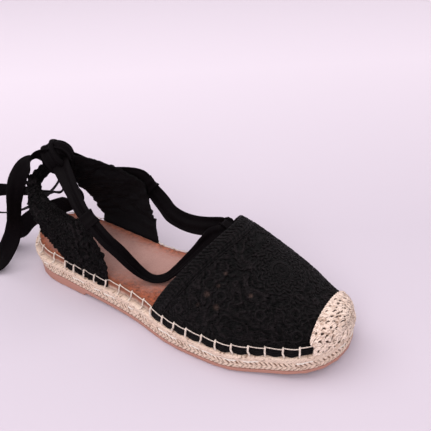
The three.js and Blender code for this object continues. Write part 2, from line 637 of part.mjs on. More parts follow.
// The knot: a lobed ball, a little larger when it serves to trim what runs into it
function knot(grow) {
  const geometry = new THREE.SphereGeometry(1, ...KNOT_MESH);
  const p = geometry.getAttribute('position');
  for (let i = 0; i < p.count; i += 1) {
    const [x, y, z] = [p.getX(i), p.getY(i), p.getZ(i)];
    const lobe = 1 + KNOT_LOBES * Math.cos(KNOT_TURNS * Math.atan2(z, x)) * (1 - y * y);
    const [a, b, c] = KNOT_RADII.map((radius) => radius + grow);
    p.setXYZ(i, KNOT[0] + x * a * lobe, KNOT[1] + y * b, KNOT[2] + z * c * lobe);
  }
  return geometry;
}

// Closed geometry to a manifold solid and back
function solid(geometry) {
  const bare = new THREE.BufferGeometry();
  bare.setAttribute('position', geometry.getAttribute('position'));
  bare.setIndex(geometry.getIndex());
  const merged = mergeVertices(bare, 1e-4);
  const index = [];
  const source = merged.getIndex().array;
  for (let i = 0; i < source.length; i += 3) {
    const [a, b, c] = source.slice(i, i + 3);
    if (a !== b && b !== c && c !== a) index.push(a, b, c);
  }
  return new wasm.Manifold(new wasm.Mesh({
    numProp: 3,
    vertProperties: new Float32Array(merged.getAttribute('position').array),
    triVerts: new Uint32Array(index),
  }));
}
function cut(geometry, ...tools) {
  const left = tools.reduce((body, tool) => body.subtract(solid(tool)), solid(geometry));
  const mesh = left.getMesh();
  const result = new THREE.BufferGeometry();
  result.setAttribute('position', new THREE.BufferAttribute(mesh.vertProperties.slice(), 3));
  result.setIndex(Array.from(mesh.triVerts));
  result.computeVertexNormals();
  return result;
}

const finish = (color, roughness) => new THREE.MeshStandardMaterial({ color, roughness, metalness: 0 });
const shoe = new THREE.Group();
shoe.position.x = -HEEL_SEAT;
function place(name, geometry, material) {
  const mesh = new THREE.Mesh(geometry, material);
  mesh.name = name;
  shoe.add(mesh);
}

place('outsole', outsole(), finish('#b28278', 0.6));
place('midsole', midsole(), finish('#cdaca0', 0.9));
place('insole', insole(), finish('#c39484', 0.8));
place('vamp', vamp(), finish('#1c1618', 0.85));
place('toe_cap', toeCap(), finish('#cdaca0', 0.9));
const black = () => finish('#1c1618', 0.85);
const nearKnot = knot(GAP);
place('heel_panel_lateral', cut(slab(lateralGrid, WING_WALL), nearKnot), black());
place('heel_panel_medial', cut(slab(medialGrid, WING_WALL), nearKnot), black());
place('keeper_lateral', cut(keeper(KEEPERS.lateral), grownWing(lateralGrid)), black());
place('keeper_medial', cut(keeper(KEEPERS.medial), grownWing(medialGrid)), black());
place('keeper_vamp', keeper(KEEPERS.vamp), black());
place('tie_strap', cut(ribbon(tieRows(), 2), nearKnot), black());
place('knot', knot(0), black());
place('bow_loop', cut(ribbon(BOW_LOOP, 2), nearKnot), black());
place('ribbon_end_lateral', cut(ribbon(LATERAL_END, 2), nearKnot), black());
place('ribbon_end_medial', cut(ribbon(MEDIAL_END, 2), nearKnot), black());

const scene = new THREE.Group();
scene.add(shoe);
export default scene;
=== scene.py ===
import math

import bpy
from mathutils import Matrix
import numpy as np


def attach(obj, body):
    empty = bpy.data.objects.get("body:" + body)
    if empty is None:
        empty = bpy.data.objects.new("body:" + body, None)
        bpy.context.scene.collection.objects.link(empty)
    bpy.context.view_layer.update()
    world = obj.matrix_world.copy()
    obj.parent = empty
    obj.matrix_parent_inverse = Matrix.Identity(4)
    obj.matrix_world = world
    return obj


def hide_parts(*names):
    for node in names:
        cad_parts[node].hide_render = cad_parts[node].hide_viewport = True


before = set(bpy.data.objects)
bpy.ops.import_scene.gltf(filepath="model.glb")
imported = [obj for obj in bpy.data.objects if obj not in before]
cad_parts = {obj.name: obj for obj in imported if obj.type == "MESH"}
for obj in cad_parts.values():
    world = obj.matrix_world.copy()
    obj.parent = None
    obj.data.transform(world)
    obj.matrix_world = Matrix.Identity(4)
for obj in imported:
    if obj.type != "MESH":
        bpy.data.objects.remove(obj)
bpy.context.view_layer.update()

# The sizes and tables of the part, in millimetres from the back of the heel
LENGTH, HEEL_WIDTH, BALL_WIDTH, HEEL_SEAT = 250.0, 61.8, 86.2, 30.0
HEEL_ROUND, TOE_ROUND, TOE_SQUARE = 35.0, 50.0, 2.2
CREST_ROUND, CREST_SQUARE = 47.0, 2.4
HEEL_TOP, HEEL_RISE, HEEL_SWELL, TOE_TOP = 24.1, 3.0, 4.0, 20.2
TOE_SPRING, SPRING_START, ARCH_END = 6.9, 180.0, 130.0
RUBBER, HEEL_LUG = 3.3, 7.8
GAP, SOCK, RIM, RIM_DROP, DISH = 0.3, 1.2, 1.0, 4.2, 5.0
UPPER_INSET, UPPER_WALL, LAP_DROP, LAP_FLARE = 2.6, 1.4, 5.4, 1.4
INSTEP, THROAT_CORNER, THROAT_PEAK, THROAT_CURVE = 56.0, 130.0, 168.0, 1.3
CAP_CORNER, CAP_PEAK, CAP_WALL = LENGTH - 14.0, LENGTH - 16.0, 1.3
LATERAL_FEET, MEDIAL_FEET, WING_WALL, KNOT_HEIGHT = (87.0, 47.0), (91.0, 36.0), 1.4, 90.0
RIBBON, RIBBON_THICK = 13.0, 1.0
KNOT = (25.0, 1.0, 88.0)
OUTLINE = [
    (0, 1, 0, 0.009), (0.15, 0.98, 0, -0.017), (0.3, 0.98, 0, -0.045), (0.45, 0.52, 0.367, -0.063),
    (0.6, 0.2, 0.843, -0.03), (0.73, 0, 1, -0.027), (0.87, 0, 0.847, 0.001), (1, 0, 0.914, 0.032),
]
LAST = [
    (0.5, 1.109, 1.75, 0.085), (0.672, 0.965, 1.74, 0.113), (0.76, 0.756, 1.84, 0.1),
    (0.86, 0.515, 2.05, 0.04), (0.93, 0.265, 2.0, 0.02), (1, 0.27, 2.0, 0),
]
# Each row of a wing: front edge, rear edge, bow
LATERAL_WING = [
    (0.357, -1.07, 0.37, 0.17, -0.95, 0.33, 0.06), (0.356, -1.07, 0.45, 0.152, -0.93, 0.37, 0.08),
    (0.346, -1.06, 0.54, 0.122, -0.9, 0.415, 0.1), (0.33, -1.04, 0.615, 0.094, -0.85, 0.49, 0.11),
    (0.302, -1.0, 0.71, 0.066, -0.79, 0.585, 0.1), (0.24, -0.87, 0.7, 0.047, -0.7, 0.68, 0.08),
    (0.17, -0.77, 0.72, 0.038, -0.62, 0.76, 0.06), (0.1, -0.6, 0.745, 0.038, -0.5, 0.83, 0.03),
    (0.068, -0.42, 0.78, 0.046, -0.34, 0.88, 0), (0.072, -0.2, 0.83, 0.062, -0.16, 0.93, 0),
    (0.086, -0.05, 0.87, 0.082, -0.02, 0.97, 0),
]
MEDIAL_WING = [
    (0.352, 0.8, 0.33, 0.14, 0.9, 0.31, 0.05), (0.34, 0.88, 0.42, 0.128, 0.89, 0.35, 0.08),
    (0.32, 0.95, 0.52, 0.118, 0.86, 0.41, 0.1), (0.313, 0.98, 0.62, 0.112, 0.8, 0.47, 0.11),
    (0.3, 0.97, 0.72, 0.108, 0.7, 0.53, 0.1), (0.26, 0.9, 0.79, 0.1, 0.6, 0.6, 0.08),
    (0.21, 0.76, 0.86, 0.097, 0.46, 0.68, 0.06), (0.165, 0.52, 0.925, 0.1, 0.3, 0.77, 0.03),
    (0.13, 0.25, 0.98, 0.105, 0.14, 0.87, 0), (0.11, 0.1, 1, 0.102, 0.06, 0.94, 0),
]
# Ribbon routes: middle of the ribbon, the way its width lies, the width left by a fold
TIE = [
    (25, 1, 88, 0.57, 0.71, 0.4, 1), (33, -5, 87, 0.57, 0.71, 0.4, 1),
    (45, -13, 83.8, 0.57, 0.71, 0.4, 0.88), (57, -20.5, 79.5, 0.57, 0.71, 0.4, 0.76),
    (71, -28.4, 73, 0.57, 0.71, 0.4, 0.7), (75.5, -29.2, 69.9, 0.57, 0.71, 0.4, 0.68),
    (79.5, -29.8, 67.1, 0.57, 0.71, 0.4, 0.68), (84, -30.6, 64, 0.57, 0.71, 0.4, 0.68),
    (91.5, -30.5, 57, 0.38, 0.82, 0.44, 0.7), (97.5, -27.5, 48.8, 0.11, 0.92, 0.38, 0.7),
    (102.5, -23.5, 38.2, -0.1, 0.97, 0.22, 0.7), (107.5, -19.3, 28.8, -0.3, 0.95, 0.12, 0.7),
    (112.2, -17, 24.6, -0.45, 0.89, 0.04, 0.7), (116.7, -14.3, 23, -0.53, 0.85, 0, 0.7),
    (123, -11.2, 25.2, -0.57, 0.82, 0.05, 0.7), (129.4, -8.2, 31.4, -0.64, 0.75, 0.16, 0.7),
    (136, -5.5, 39.4, -0.67, 0.67, 0.33, 0.7), (143, -3, 48.5, -0.71, 0.55, 0.44, 0.7),
    (149.5, -1.3, 57, -0.81, 0.32, 0.49, 0.7), (156.5, -1, 63.5, -0.91, 0.1, 0.41, 1),
    (163.4, 1, 67, -0.93, 0, 0.36, 1), (163.8, 5.8, 67, -0.93, 0, 0.36, 1),
    (164.2, 9.2, 67, -0.93, 0, 0.36, 1), (164.6, 14, 67, -0.93, 0, 0.36, 1),
    (158.5, 16.2, 63.5, -0.72, -0.22, 0.66, 1), (148, 17.5, 58, -0.21, 0.21, 0.95, 1),
    (135, 18, 53.8, 0.05, 0.41, 0.91, 1), (123, 20.5, 50.5, 0.1, 0.45, 0.89, 1),
    (112, 23.5, 48.8, 0.1, 0.45, 0.89, 1), (101.5, 27, 48.8, 0.11, 0.53, 0.84, 1),
    (92, 32, 51, 0.32, 0.42, 0.85, 1), (82.5, 35, 55.8, 0.68, 0.19, 0.7, 1),
    (78.7, 35, 59.3, 0.68, 0.19, 0.7, 1), (75.3, 35, 62.3, 0.68, 0.19, 0.7, 1),
    (71.5, 35, 65.8, 0.68, 0.19, 0.7, 1), (48.7, 30.6, 66.1, 0.91, 0.15, 0.39, 1),
    (36.2, 24.1, 71.1, 0.83, 0.27, 0.48, 1), (30.4, 16.6, 78, 0.72, 0.3, 0.62, 1),
    (25, 1, 88, -0.1, 0.2, 0.97, 1),
]
BOW_LOOP = [
    (25, 1, 84, 0.8, -0.5, -0.2, 1), (25.3, -2.7, 76.5, 0.76, -0.65, 0, 0.7),
    (27.6, -1, 68.5, 0.7, -0.7, 0, 0.7), (23.5, 0, 60.5, 0.35, -0.85, 0.3, 0.7),
    (12, -1.2, 56.8, 0, -0.8, 0.6, 0.7), (2, -2.5, 54.5, -0.1, -0.6, 0.8, 1),
    (-13, -8, 54.8, -0.1, -0.45, 0.8, 1), (-28, -14, 54.5, -0.2, -0.4, 0.85, 1),
    (-42, -19.5, 51, -0.2, -0.3, 0.9, 1), (-51, -21, 43, 0.2, -0.3, 0.9, 1),
    (-49, -17, 34, 0.3, -0.6, 0.7, 1), (-38, -12, 29.5, 0.3, -0.75, 0.5, 1),
    (-22, -4, 32.5, 0.3, -0.8, 0.45, 1), (-8, 6, 41, 0.3, -0.8, 0.4, 1), (3, 13, 53, 0.4, -0.8, 0.2, 1),
    (12, 13.5, 67, 0.5, -0.8, -0.1, 1), (19, 7.5, 79, 0.5, -0.8, -0.2, 1), (25, 1, 88, 0.5, -0.8, -0.2, 1),
]
LATERAL_END = [
    (25, 1, 88, 0.3, 0.2, 0.9), (20, -6, 91.5, 0.55, 0.1, 0.8), (14.5, -10.5, 90.5, 0.75, 0.1, 0.6),
    (9, -14.5, 86, 0.85, 0.15, 0.3), (3.5, -18.5, 78, 0.85, 0.25, -0.1),
    (0.8, -22.5, 67.5, 0.45, 0.8, -0.3), (-0.5, -26, 55.5, 0.05, 0.9, -0.3),
    (-1, -29, 44.5, 0, 0.9, -0.2), (-2.5, -32, 33.5, 0.35, 0.85, -0.3),
    (-8.5, -36, 19, 0.85, 0.2, -0.4), (-15.5, -41, 6.5, 0.75, -0.4, -0.2),
    (-25, -48, 1.4, 0.6, -0.75, 0), (-37, -57, 0.9, 0.6, -0.75, 0), (-49, -67, 0.9, 0.6, -0.75, 0),
    (-60, -77, 0.9, 0.65, -0.7, 0), (-70, -88, 0.9, 0.7, -0.65, 0),
]
MEDIAL_END = [
    (25, 1, 88, 0.7, 0.5, 0.1), (28.9, 0.4, 76, 0.75, -0.65, 0), (32, 3.6, 66, 0.6, -0.7, 0.1),
    (34.3, 5, 57, 0.4, -0.8, 0.2), (30.5, 4.3, 50.5, -0.1, -0.6, 0.7), (21.5, 3, 46.5, -0.4, -0.2, 0.9),
    (11.5, 1, 41.5, -0.5, 0, 0.85), (-1, -2.5, 35, -0.5, 0, 0.8), (-14, -7, 26, -0.5, -0.2, 0.8),
    (-23, -12, 13, -0.3, -0.8, 0.5), (-31, -17, 5, 0.35, -0.9, 0), (-38, -21.2, 1.9, 0.45, -0.88, 0),
    (-47, -26.6, 0.9, 0.5, -0.85, 0),
    (-59, -34, 0.9, -0.5, -0.85, 0), (-71, -43, 0.9, -0.55, -0.8, 0), (-82, -53, 0.9, -0.65, -0.75, 0),
]
KEEPERS = {
    "keeper_lateral": ((77.5, -29.5, 68.5), (0.82, -0.14, -0.56), (0.5, 0.62, 0.35), 10.0, 0.68),
    "keeper_vamp": ((164, 7.5, 67), (0.1, 1, 0), (-0.93, 0, 0.36), 7.0, 1.0),
    "keeper_medial": ((77, 35, 60.8), (-0.66, 0, 0.6), (0.66, 0.18, 0.68), 9.0, 1.0),
}
# Where the near side's blanket stitches stand
STITCH_X = [
    10.8, 18.6, 32.9, 46.4, 55.2, 65.3, 75.4, 86.4, 97.3, 108.4, 119.4, 128.8, 140.2, 150.4, 160,
    171.6, 181.7, 192.5, 202.6, 212.2, 222.4, 231.7,
]


def metres(points):
    p = np.asarray(points, float)
    return (p - np.array([HEEL_SEAT, 0, 0])) / 1000


# Camera: azimuth, elevation and roll in degrees; aim, distance and lens in millimetres
VIEW, TARGET, DISTANCE, LENS = (33.74, 32.92, -3.09), (106.83, 76.60, 20), 513.61, 54.11


def build_camera():
    azimuth, elevation, roll = np.radians(VIEW)
    back = np.array([
        math.sin(azimuth) * math.cos(elevation), -math.cos(azimuth) * math.cos(elevation),
        math.sin(elevation)])
    right = np.array([math.cos(azimuth), math.sin(azimuth), 0])
    up = np.cross(back, right)
    x = math.cos(roll) * right + math.sin(roll) * up
    y = -math.sin(roll) * right + math.cos(roll) * up
    data = bpy.data.cameras.new("camera")
    data.lens, data.sensor_width, data.clip_start = LENS, 36, 0.01
    camera = bpy.data.objects.new("camera", data)
    bpy.context.scene.collection.objects.link(camera)
    columns = np.stack([x, y, back, metres(np.array(TARGET) + back * DISTANCE)], 1)
    camera.matrix_world = Matrix([*columns.tolist(), [0, 0, 0, 1]])
    bpy.context.scene.camera = camera


# Curves and tables
def column(rows, key):
    x = np.array([r[0] for r in rows], float)
    y = np.array([r[key] for r in rows], float)
    slope = np.diff(y) / np.diff(x)
    tangent = np.empty(len(x))
    tangent[0], tangent[-1] = slope[0], slope[-1]
    a, b = slope[:-1], slope[1:]
    tangent[1:-1] = np.where(a * b <= 0, 0, 2 * a * b / np.where(a + b == 0, 1, a + b))

    def at(value):
        t = np.clip(value, x[0], x[-1])
        i = np.clip(np.searchsorted(x, t, side="right") - 1, 0, len(x) - 2)
        h = x[i + 1] - x[i]
        u = (t - x[i]) / h
        return (y[i] * (1 + 2 * u) * (1 - u) ** 2 + y[i + 1] * u * u * (3 - 2 * u)
                + h * tangent[i] * u * (1 - u) ** 2 + h * tangent[i + 1] * u * u * (u - 1))
    return at


heel_share, ball_share, centre_share = [column(OUTLINE, k) for k in (1, 2, 3)]
crest_share, section_power, crest_shift = [column(LAST, k) for k in (1, 2, 3)]


def smooth(u):
    u = np.clip(u, 0, 1)
    return u * u * (3 - 2 * u)


def mix(a, b, u):
    return a + (b - a) * u


def half_width(x, inset):
    share = x / LENGTH
    wide = (heel_share(share) * HEEL_WIDTH + ball_share(share) * BALL_WIDTH) / 2 - inset
    heel = np.clip(1 - (x - inset) / (HEEL_ROUND - inset), 0, 1)
    toe = np.clip(1 - (LENGTH - inset - x) / (TOE_ROUND - inset), 0, 1)
    return wide * np.sqrt(1 - heel ** 2) * (1 - toe ** TOE_SQUARE) ** (1 / TOE_SQUARE)


def centre(x):
    return centre_share(x / LENGTH) * BALL_WIDTH


def spring(x):
    return TOE_SPRING * np.clip((x - SPRING_START) / (LENGTH - SPRING_START), 0, 1) ** 2


def edge_top(x):
    fall = smooth((x - HEEL_ROUND) / (SPRING_START - HEEL_ROUND))
    return (mix(HEEL_TOP, TOE_TOP, fall) + spring(x)
            + HEEL_RISE * np.clip(1 - x / HEEL_ROUND, 0, 1) ** 2)


def rope_top(x):
    return edge_top(x) - SOCK - GAP


def rubber_top(x):
    return mix(HEEL_LUG, RUBBER, smooth((x - HEEL_ROUND) / (ARCH_END - HEEL_ROUND))) + spring(x)


def rope_inset(drop):
    return UPPER_INSET + UPPER_WALL + RIM + 2 * GAP - LAP_FLARE * drop / LAP_DROP


# Lets the heel bulge outwards above the rubber
def swell(p):
    back = smooth(1 - p[..., 0] / HEEL_ROUND)
    high = np.clip((p[..., 2] - HEEL_LUG) / HEEL_LUG, 0, 1)
    grow = (1 + (HEEL_SWELL / HEEL_ROUND) * back * high)[..., None]
    middle = np.array([HEEL_ROUND, float(centre(HEEL_ROUND)), 0])
    moved = middle + (p - middle) * grow
    moved[..., 2] = p[..., 2]
    return np.where((back > 0)[..., None], moved, p)


# Points round the outline, evenly spaced, with outward directions, starting at the heel
def outline(count):
    t = np.linspace(0, 1, 4001)
    ends = mix(t, smooth(t), 0.92)
    x = LENGTH * ends
    lateral = np.stack([x, centre(x) - half_width(x, 0)], 1)
    medial = np.stack([x, centre(x) + half_width(x, 0)], 1)[::-1]
    loop = np.concatenate([lateral, medial[1:]])
    s = np.concatenate([[0], np.cumsum(np.linalg.norm(np.diff(loop, axis=0), axis=1))])
    at = np.arange(count + 1) / count * s[-1]
    xy = np.stack([np.interp(at, s, loop[:, k]) for k in (0, 1)], 1)
    ahead = np.roll(xy[:-1], -2, 0) - np.roll(xy[:-1], 2, 0)
    ahead = np.concatenate([ahead, ahead[:1]])
    ahead /= np.linalg.norm(ahead, axis=1)[:, None]
    out = np.stack([ahead[:, 1], -ahead[:, 0]], 1)
    return xy, out, at


def on_outline(xy, out, inset, height):
    p = np.empty((len(xy), 3))
    p[:, :2] = xy - out * np.reshape(inset, (-1, 1))
    p[:, 2] = height
    return p


# Point of the last under the upper, from its lateral edge over the top to its medial edge
def last_point(x, turn, depth):
    inset = UPPER_INSET + depth
    share = x / LENGTH
    power = 2 / section_power(share)
    angle = turn * math.pi
    wide = half_width(x, inset)
    toe = np.clip(1 - (LENGTH - inset - x) / (CREST_ROUND - inset), 0, 1)
    tall = (crest_share(share) * INSTEP - depth) * (1 - toe ** CREST_SQUARE) ** (1 / CREST_SQUARE)
    side = -np.sign(np.cos(angle)) * np.abs(np.cos(angle)) ** power
    rise = np.maximum(np.sin(angle), 0) ** power
    y = centre(x) + side * wide + rise * crest_shift(share) * BALL_WIDTH * (wide / (BALL_WIDTH / 2))
    return np.stack([x, y, edge_top(x) + rise * tall], -1)


# Centripetal curve through points, with any further columns blended alike
def route(rows, steps):
    rows = np.asarray(rows, float)
    p = rows[:, :3]
    ends = np.concatenate([[2 * p[0] - p[1]], p, [2 * p[-1] - p[-2]]])
    out = []
    for i in range(len(p) - 1):
        a, b, c, d = ends[i:i + 4]
        k = [max(np.linalg.norm(v) ** 0.5, 1e-4) for v in (b - a, c - b, d - c)]
        m1 = ((b - a) / k[0] - (c - a) / (k[0] + k[1]) + (c - b) / k[1]) * k[1]
        m2 = ((c - b) / k[1] - (d - b) / (k[1] + k[2]) + (d - c) / k[2]) * k[1]
        for u in np.arange(steps) / steps:
            q = (b * (1 + 2 * u) * (1 - u) ** 2 + c * u * u * (3 - 2 * u)
                 + m1 * u * (1 - u) ** 2 + m2 * u * u * (u - 1))
            out.append(np.concatenate([q, mix(rows[i, 3:], rows[i + 1, 3:], u)]))
    out.append(rows[-1])
    return np.array(out)


# Mesh making: how near points are merged, in metres
MERGE, KEEPER_MERGE = 1e-6, 1e-5


# Selects objects, the first of them as the active one
def use(*objects):
    bpy.ops.object.select_all(action="DESELECT")
    for obj in objects:
        obj.select_set(True)
    if objects:
        bpy.context.view_layer.objects.active = objects[0]


def finish_piece(obj, material, nodes=()):
    use(obj)
    bpy.ops.object.shade_smooth()
    obj.data.materials.clear()
    obj.data.materials.append(material)
    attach(obj, "root")
    if nodes:
        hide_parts(*nodes)


def mark(obj, name, values):
    layer = obj.data.attributes.new(name, "FLOAT", "POINT")
    layer.data.foreach_set("value", np.asarray(values, np.float32).ravel())


def recalculate(obj, merge=0.0):
    use(obj)
    bpy.ops.object.mode_set(mode="EDIT")
    bpy.ops.mesh.select_all(action="SELECT")
    if merge:
        bpy.ops.mesh.remove_doubles(threshold=merge)
    bpy.ops.mesh.normals_make_consistent(inside=False)
    bpy.ops.object.mode_set(mode="OBJECT")


# Gives a sheet of cloth its thickness, in metres
def thicken(obj, thickness, offset):
    use(obj)
    sheet = obj.modifiers.new("cloth", "SOLIDIFY")
    sheet.thickness, sheet.offset = thickness, offset
    bpy.ops.object.modifier_apply(modifier="cloth")


def join_pieces(name, pieces):
    use(*pieces)
    bpy.ops.object.join()
    obj = bpy.context.object
    obj.name = obj.data.name = name
    return obj


def read_points(mesh):
    flat = np.empty(len(mesh.vertices) * 3, np.float32)
    mesh.vertices.foreach_get("co", flat)
    return flat.reshape(-1, 3)


def write_points(mesh, points):
    mesh.vertices.foreach_set("co", metres(points).astype(np.float32).ravel())


# A grid primitive laid on rows of points, with its masks
def lay_grid(name, points, masks=None, flip=False):
    rows, cols = points.shape[:2]
    use()
    bpy.ops.mesh.primitive_grid_add(
        x_subdivisions=cols - 1, y_subdivisions=rows - 1, size=1, calc_uvs=True)
    obj = bpy.context.object
    obj.name = obj.data.name = name
    flat = read_points(obj.data)
    j = np.rint((flat[:, 0] + 0.5) * (cols - 1)).astype(int)
    i = np.rint((flat[:, 1] + 0.5) * (rows - 1)).astype(int)
    write_points(obj.data, points[i, j])
    for key, values in (masks or {}).items():
        mark(obj, key, values[i, j])
    if flip:
        obj.data.flip_normals()
    use(obj)
    bpy.ops.object.shade_smooth()
    obj.data.update()
    return obj


# Directions square to a sheet of points
def sheet_normals(points):
    n = np.cross(np.gradient(points, axis=0), np.gradient(points, axis=1))
    length = np.linalg.norm(n, axis=-1, keepdims=True)
    n = n / np.maximum(length, 1e-9)
    for edge, inner in ((0, 1), (-1, -2)):
        weak = length[edge, :, 0] < 1e-6
        n[edge, weak] = n[inner, weak]
        weak = length[:, edge, 0] < 1e-6
        n[weak, edge] = n[weak, inner]
    return n


# The same, towards one side of an axis
def outward_normals(points, axis, side=1):
    n = sheet_normals(points)
    middle = n[n.shape[0] // 2, n.shape[1] // 2, axis]
    return -n if middle * side < 0 else n


# A sheet with two faces and a closed rim; the outer face carries the relief
def shell(name, points, normals, wall, relief, masks, inner_relief=0.0):
    outer = points + normals * relief[..., None]
    inner = points - normals * (wall - np.asarray(inner_relief))[..., None]
    grids = [lay_grid(name, outer, masks)]
    blank = {key: np.zeros_like(values) for key, values in masks.items()}
    blank["inside"] = np.ones(points.shape[:2])
    grids.append(lay_grid(name + "_in", inner, blank, flip=True))
    mark(grids[0], "inside", np.zeros(len(grids[0].data.vertices)))
    obj = join_pieces(name, grids)
    bpy.ops.object.mode_set(mode="EDIT")
    bpy.ops.mesh.select_mode(type="EDGE")
    bpy.ops.mesh.select_all(action="DESELECT")
    bpy.ops.mesh.select_non_manifold()
    bpy.ops.mesh.bridge_edge_loops()
    bpy.ops.mesh.select_mode(type="VERT")
    bpy.ops.object.mode_set(mode="OBJECT")
    recalculate(obj)
    return obj


# Relief of the thread work, as heights from 0 to 1
def ridge(d, width):
    return np.sqrt(np.clip(1 - (d / width) ** 2, 0, 1))


def v_stitches(s, t, wide, tall, thread):
    cx = s / wide - np.floor(s / wide) - 0.5
    cy = t / tall - np.floor(t / tall)
    a = np.abs(np.abs(cx) - 0.46 * (1 - cy)) * wide
    row = np.abs(cy - 0.5)
    return np.maximum(ridge(a, thread), 0.75 * ridge((0.5 - row) * tall, thread * 0.7))


def waves(value, pitch):
    return 0.5 + 0.5 * np.cos(2 * math.pi * value / pitch)


def noise(shape, cells, seed):
    rng = np.random.default_rng(seed)
    coarse = rng.random((cells[0] + 3, cells[1] + 3))
    y = np.linspace(0, cells[0], shape[0])
    x = np.linspace(0, cells[1], shape[1])
    iy, ix = y.astype(int), x.astype(int)
    fy, fx = smooth(y - iy)[:, None], smooth(x - ix)[None]
    a = mix(coarse[np.ix_(iy, ix)], coarse[np.ix_(iy, ix + 1)], fx)
    b = mix(coarse[np.ix_(iy + 1, ix)], coarse[np.ix_(iy + 1, ix + 1)], fx)
    return mix(a, b, fy)


def run_lengths(points):
    s, t = np.zeros(points.shape[:2]), np.zeros(points.shape[:2])
    s[1:] = np.cumsum(np.linalg.norm(np.diff(points, axis=0), axis=-1), axis=0)
    t[:, 1:] = np.cumsum(np.linalg.norm(np.diff(points, axis=1), axis=-1), axis=1)
    return s, t


# Shader nodes
def feed(tree, socket, value):
    if isinstance(value, bpy.types.NodeSocket):
        tree.links.new(value, socket)
    else:
        socket.default_value = (*value, 1) if socket.type == "RGBA" else value


def node(tree, kind, inputs, **settings):
    made = tree.nodes.new("ShaderNode" + kind)
    for key, value in settings.items():
        setattr(made, key, value)
    for key, value in inputs.items():
        feed(tree, made.inputs[key], value)
    return made


def times(tree, a, b):
    return node(tree, "Math", {0: a, 1: b}, operation="MULTIPLY").outputs[0]


def plus(tree, a, b):
    return node(tree, "Math", {0: a, 1: b}, operation="ADD").outputs[0]


def minus(tree, a, b):
    return node(tree, "Math", {0: a, 1: b}, operation="SUBTRACT").outputs[0]


# Sine of a value times a unit, which is a full turn or the number of waves that is asked for
def sine(tree, value, unit=1.0):
    return node(tree, "Math", {0: times(tree, value, unit)}, operation="SINE").outputs[0]


def clamp(tree, value):
    return node(tree, "Clamp", {0: value}).outputs[0]


def soft_noise(tree, place, scale, detail):
    return node(tree, "TexNoise", {"Vector": place, "Scale": scale, "Detail": detail}).outputs


def mix_colours(tree, factor, a, b):
    return node(tree, "Mix", {0: factor, 6: a, 7: b}, data_type="RGBA").outputs[2]


SOCKETS = {float: "NodeSocketFloat", tuple: "NodeSocketVector", type(None): "NodeSocketColor"}
TURN = 2 * math.pi


# A node group, with the sockets that it is given and those that it has to fill
def new_group(name, inputs, outputs):
    group = bpy.data.node_groups.new(name, "ShaderNodeTree")
    for label, value in {"Vector": (0.0, 0.0, 0.0), **inputs}.items():
        socket = group.interface.new_socket(
            name=label, in_out="INPUT", socket_type=SOCKETS[type(value)])
        if value is not None:
            socket.default_value = value
    for label in outputs:
        kind = SOCKETS[type(None) if label == "Color" else float]
        group.interface.new_socket(name=label, in_out="OUTPUT", socket_type=kind)
    start, end = group.nodes.new("NodeGroupInput"), group.nodes.new("NodeGroupOutput")
    return group, start.outputs, end.inputs


# Cloudy variation between two colours, with a fine grain as a second mask
def group_mottle():
    group, given, wanted = new_group(
        "mottle", {"Scale": 60.0, "Grain": 900.0, "Light": None, "Dark": None, "Contrast": 1.0},
        ("Color", "Grain"))
    cloud = soft_noise(group, given["Vector"], given["Scale"], 4)[0]
    fine = soft_noise(group, given["Vector"], given["Grain"], 3)[0]
    centred = minus(group, plus(group, cloud, times(group, fine, 0.6)), 0.8)
    share = clamp(group, plus(group, times(group, centred, given["Contrast"]), 0.5))
    feed(group, wanted["Color"], mix_colours(group, share, given["Dark"], given["Light"]))
    feed(group, wanted["Grain"], fine)
    return group


# Fine spun fibres: stretched noise that runs along one direction
def group_fibres():
    group, given, wanted = new_group("fibres", {"Stretch": (300.0, 2400.0, 1200.0)}, ("Height",))
    stretched = node(group, "Mapping", {"Vector": given["Vector"], "Scale": given["Stretch"]})
    feed(group, wanted["Height"], soft_noise(group, stretched.outputs[0], 1, 3)[0])
    return group


# Two crossing threads of a plain weave
def group_weave():
    group, given, wanted = new_group("weave", {"Across": 60.0, "Along": 400.0}, ("Height",))
    parts = node(group, "SeparateXYZ", {0: given["Vector"]}).outputs
    along, across = [
        sine(group, parts[k], given[label]) for k, label in enumerate(("Along", "Across"))]
    feed(group, wanted["Height"], times(group, along, across))
    return group


# Uneven loops of thread: contour lines of a soft noise, broken into small stitches,
# with the creases between them and their crowns as masks for painted shade and a painted highlight
def group_loops():
    group, given, wanted = new_group(
        "loops", {"Scale": 420.0, "Motif": 95.0, "Turns": 5.5, "Lay": 0.0, "Ordered": 0.0},
        ("Height", "CreaseShade", "CrownHighlight"))
    place = given["Vector"]
    drift = soft_noise(group, place, 260, 2)["Color"]
    drifted = node(
        group, "VectorMath", {0: drift, 1: (LOOP_DRIFT,) * 3, 2: place}, operation="MULTIPLY_ADD")
    large, small = [
        node(group, "TexVoronoi", {
            "Vector": drifted.outputs[0], "Scale": times(group, given["Scale"], finer),
        }).outputs["Distance"] for finer in (1.0, 2.1)]
    hills = soft_noise(group, place, given["Motif"], 0.6)[0]
    own = sine(group, times(group, hills, given["Turns"]), TURN)
    apart = times(group, minus(group, sine(group, given["Lay"], TURN), own), given["Ordered"])
    cord = plus(group, times(group, plus(group, own, apart), 0.5), 0.5)
    hollows = plus(group, times(group, large, large), times(group, small, 0.3))
    bumps = minus(group, 1.0, hollows)
    height = plus(group, times(group, cord, 0.75), times(group, bumps, 0.6))
    feed(group, wanted["Height"], height)
    for label, base, gain in (("CreaseShade", 0.62, -2.6), ("CrownHighlight", 0.85, 2.2)):
        feed(group, wanted[label], clamp(group, times(group, minus(group, height, base), gain)))
    return group


# How far the loops of thread drift from their places, in metres
LOOP_DRIFT = 0.0016
MOTTLE, FIBRES, WEAVE, LOOPS = group_mottle(), group_fibres(), group_weave(), group_loops()


def place_group(tree, group, **inputs):
    return node(tree, "Group", inputs, node_tree=group).outputs


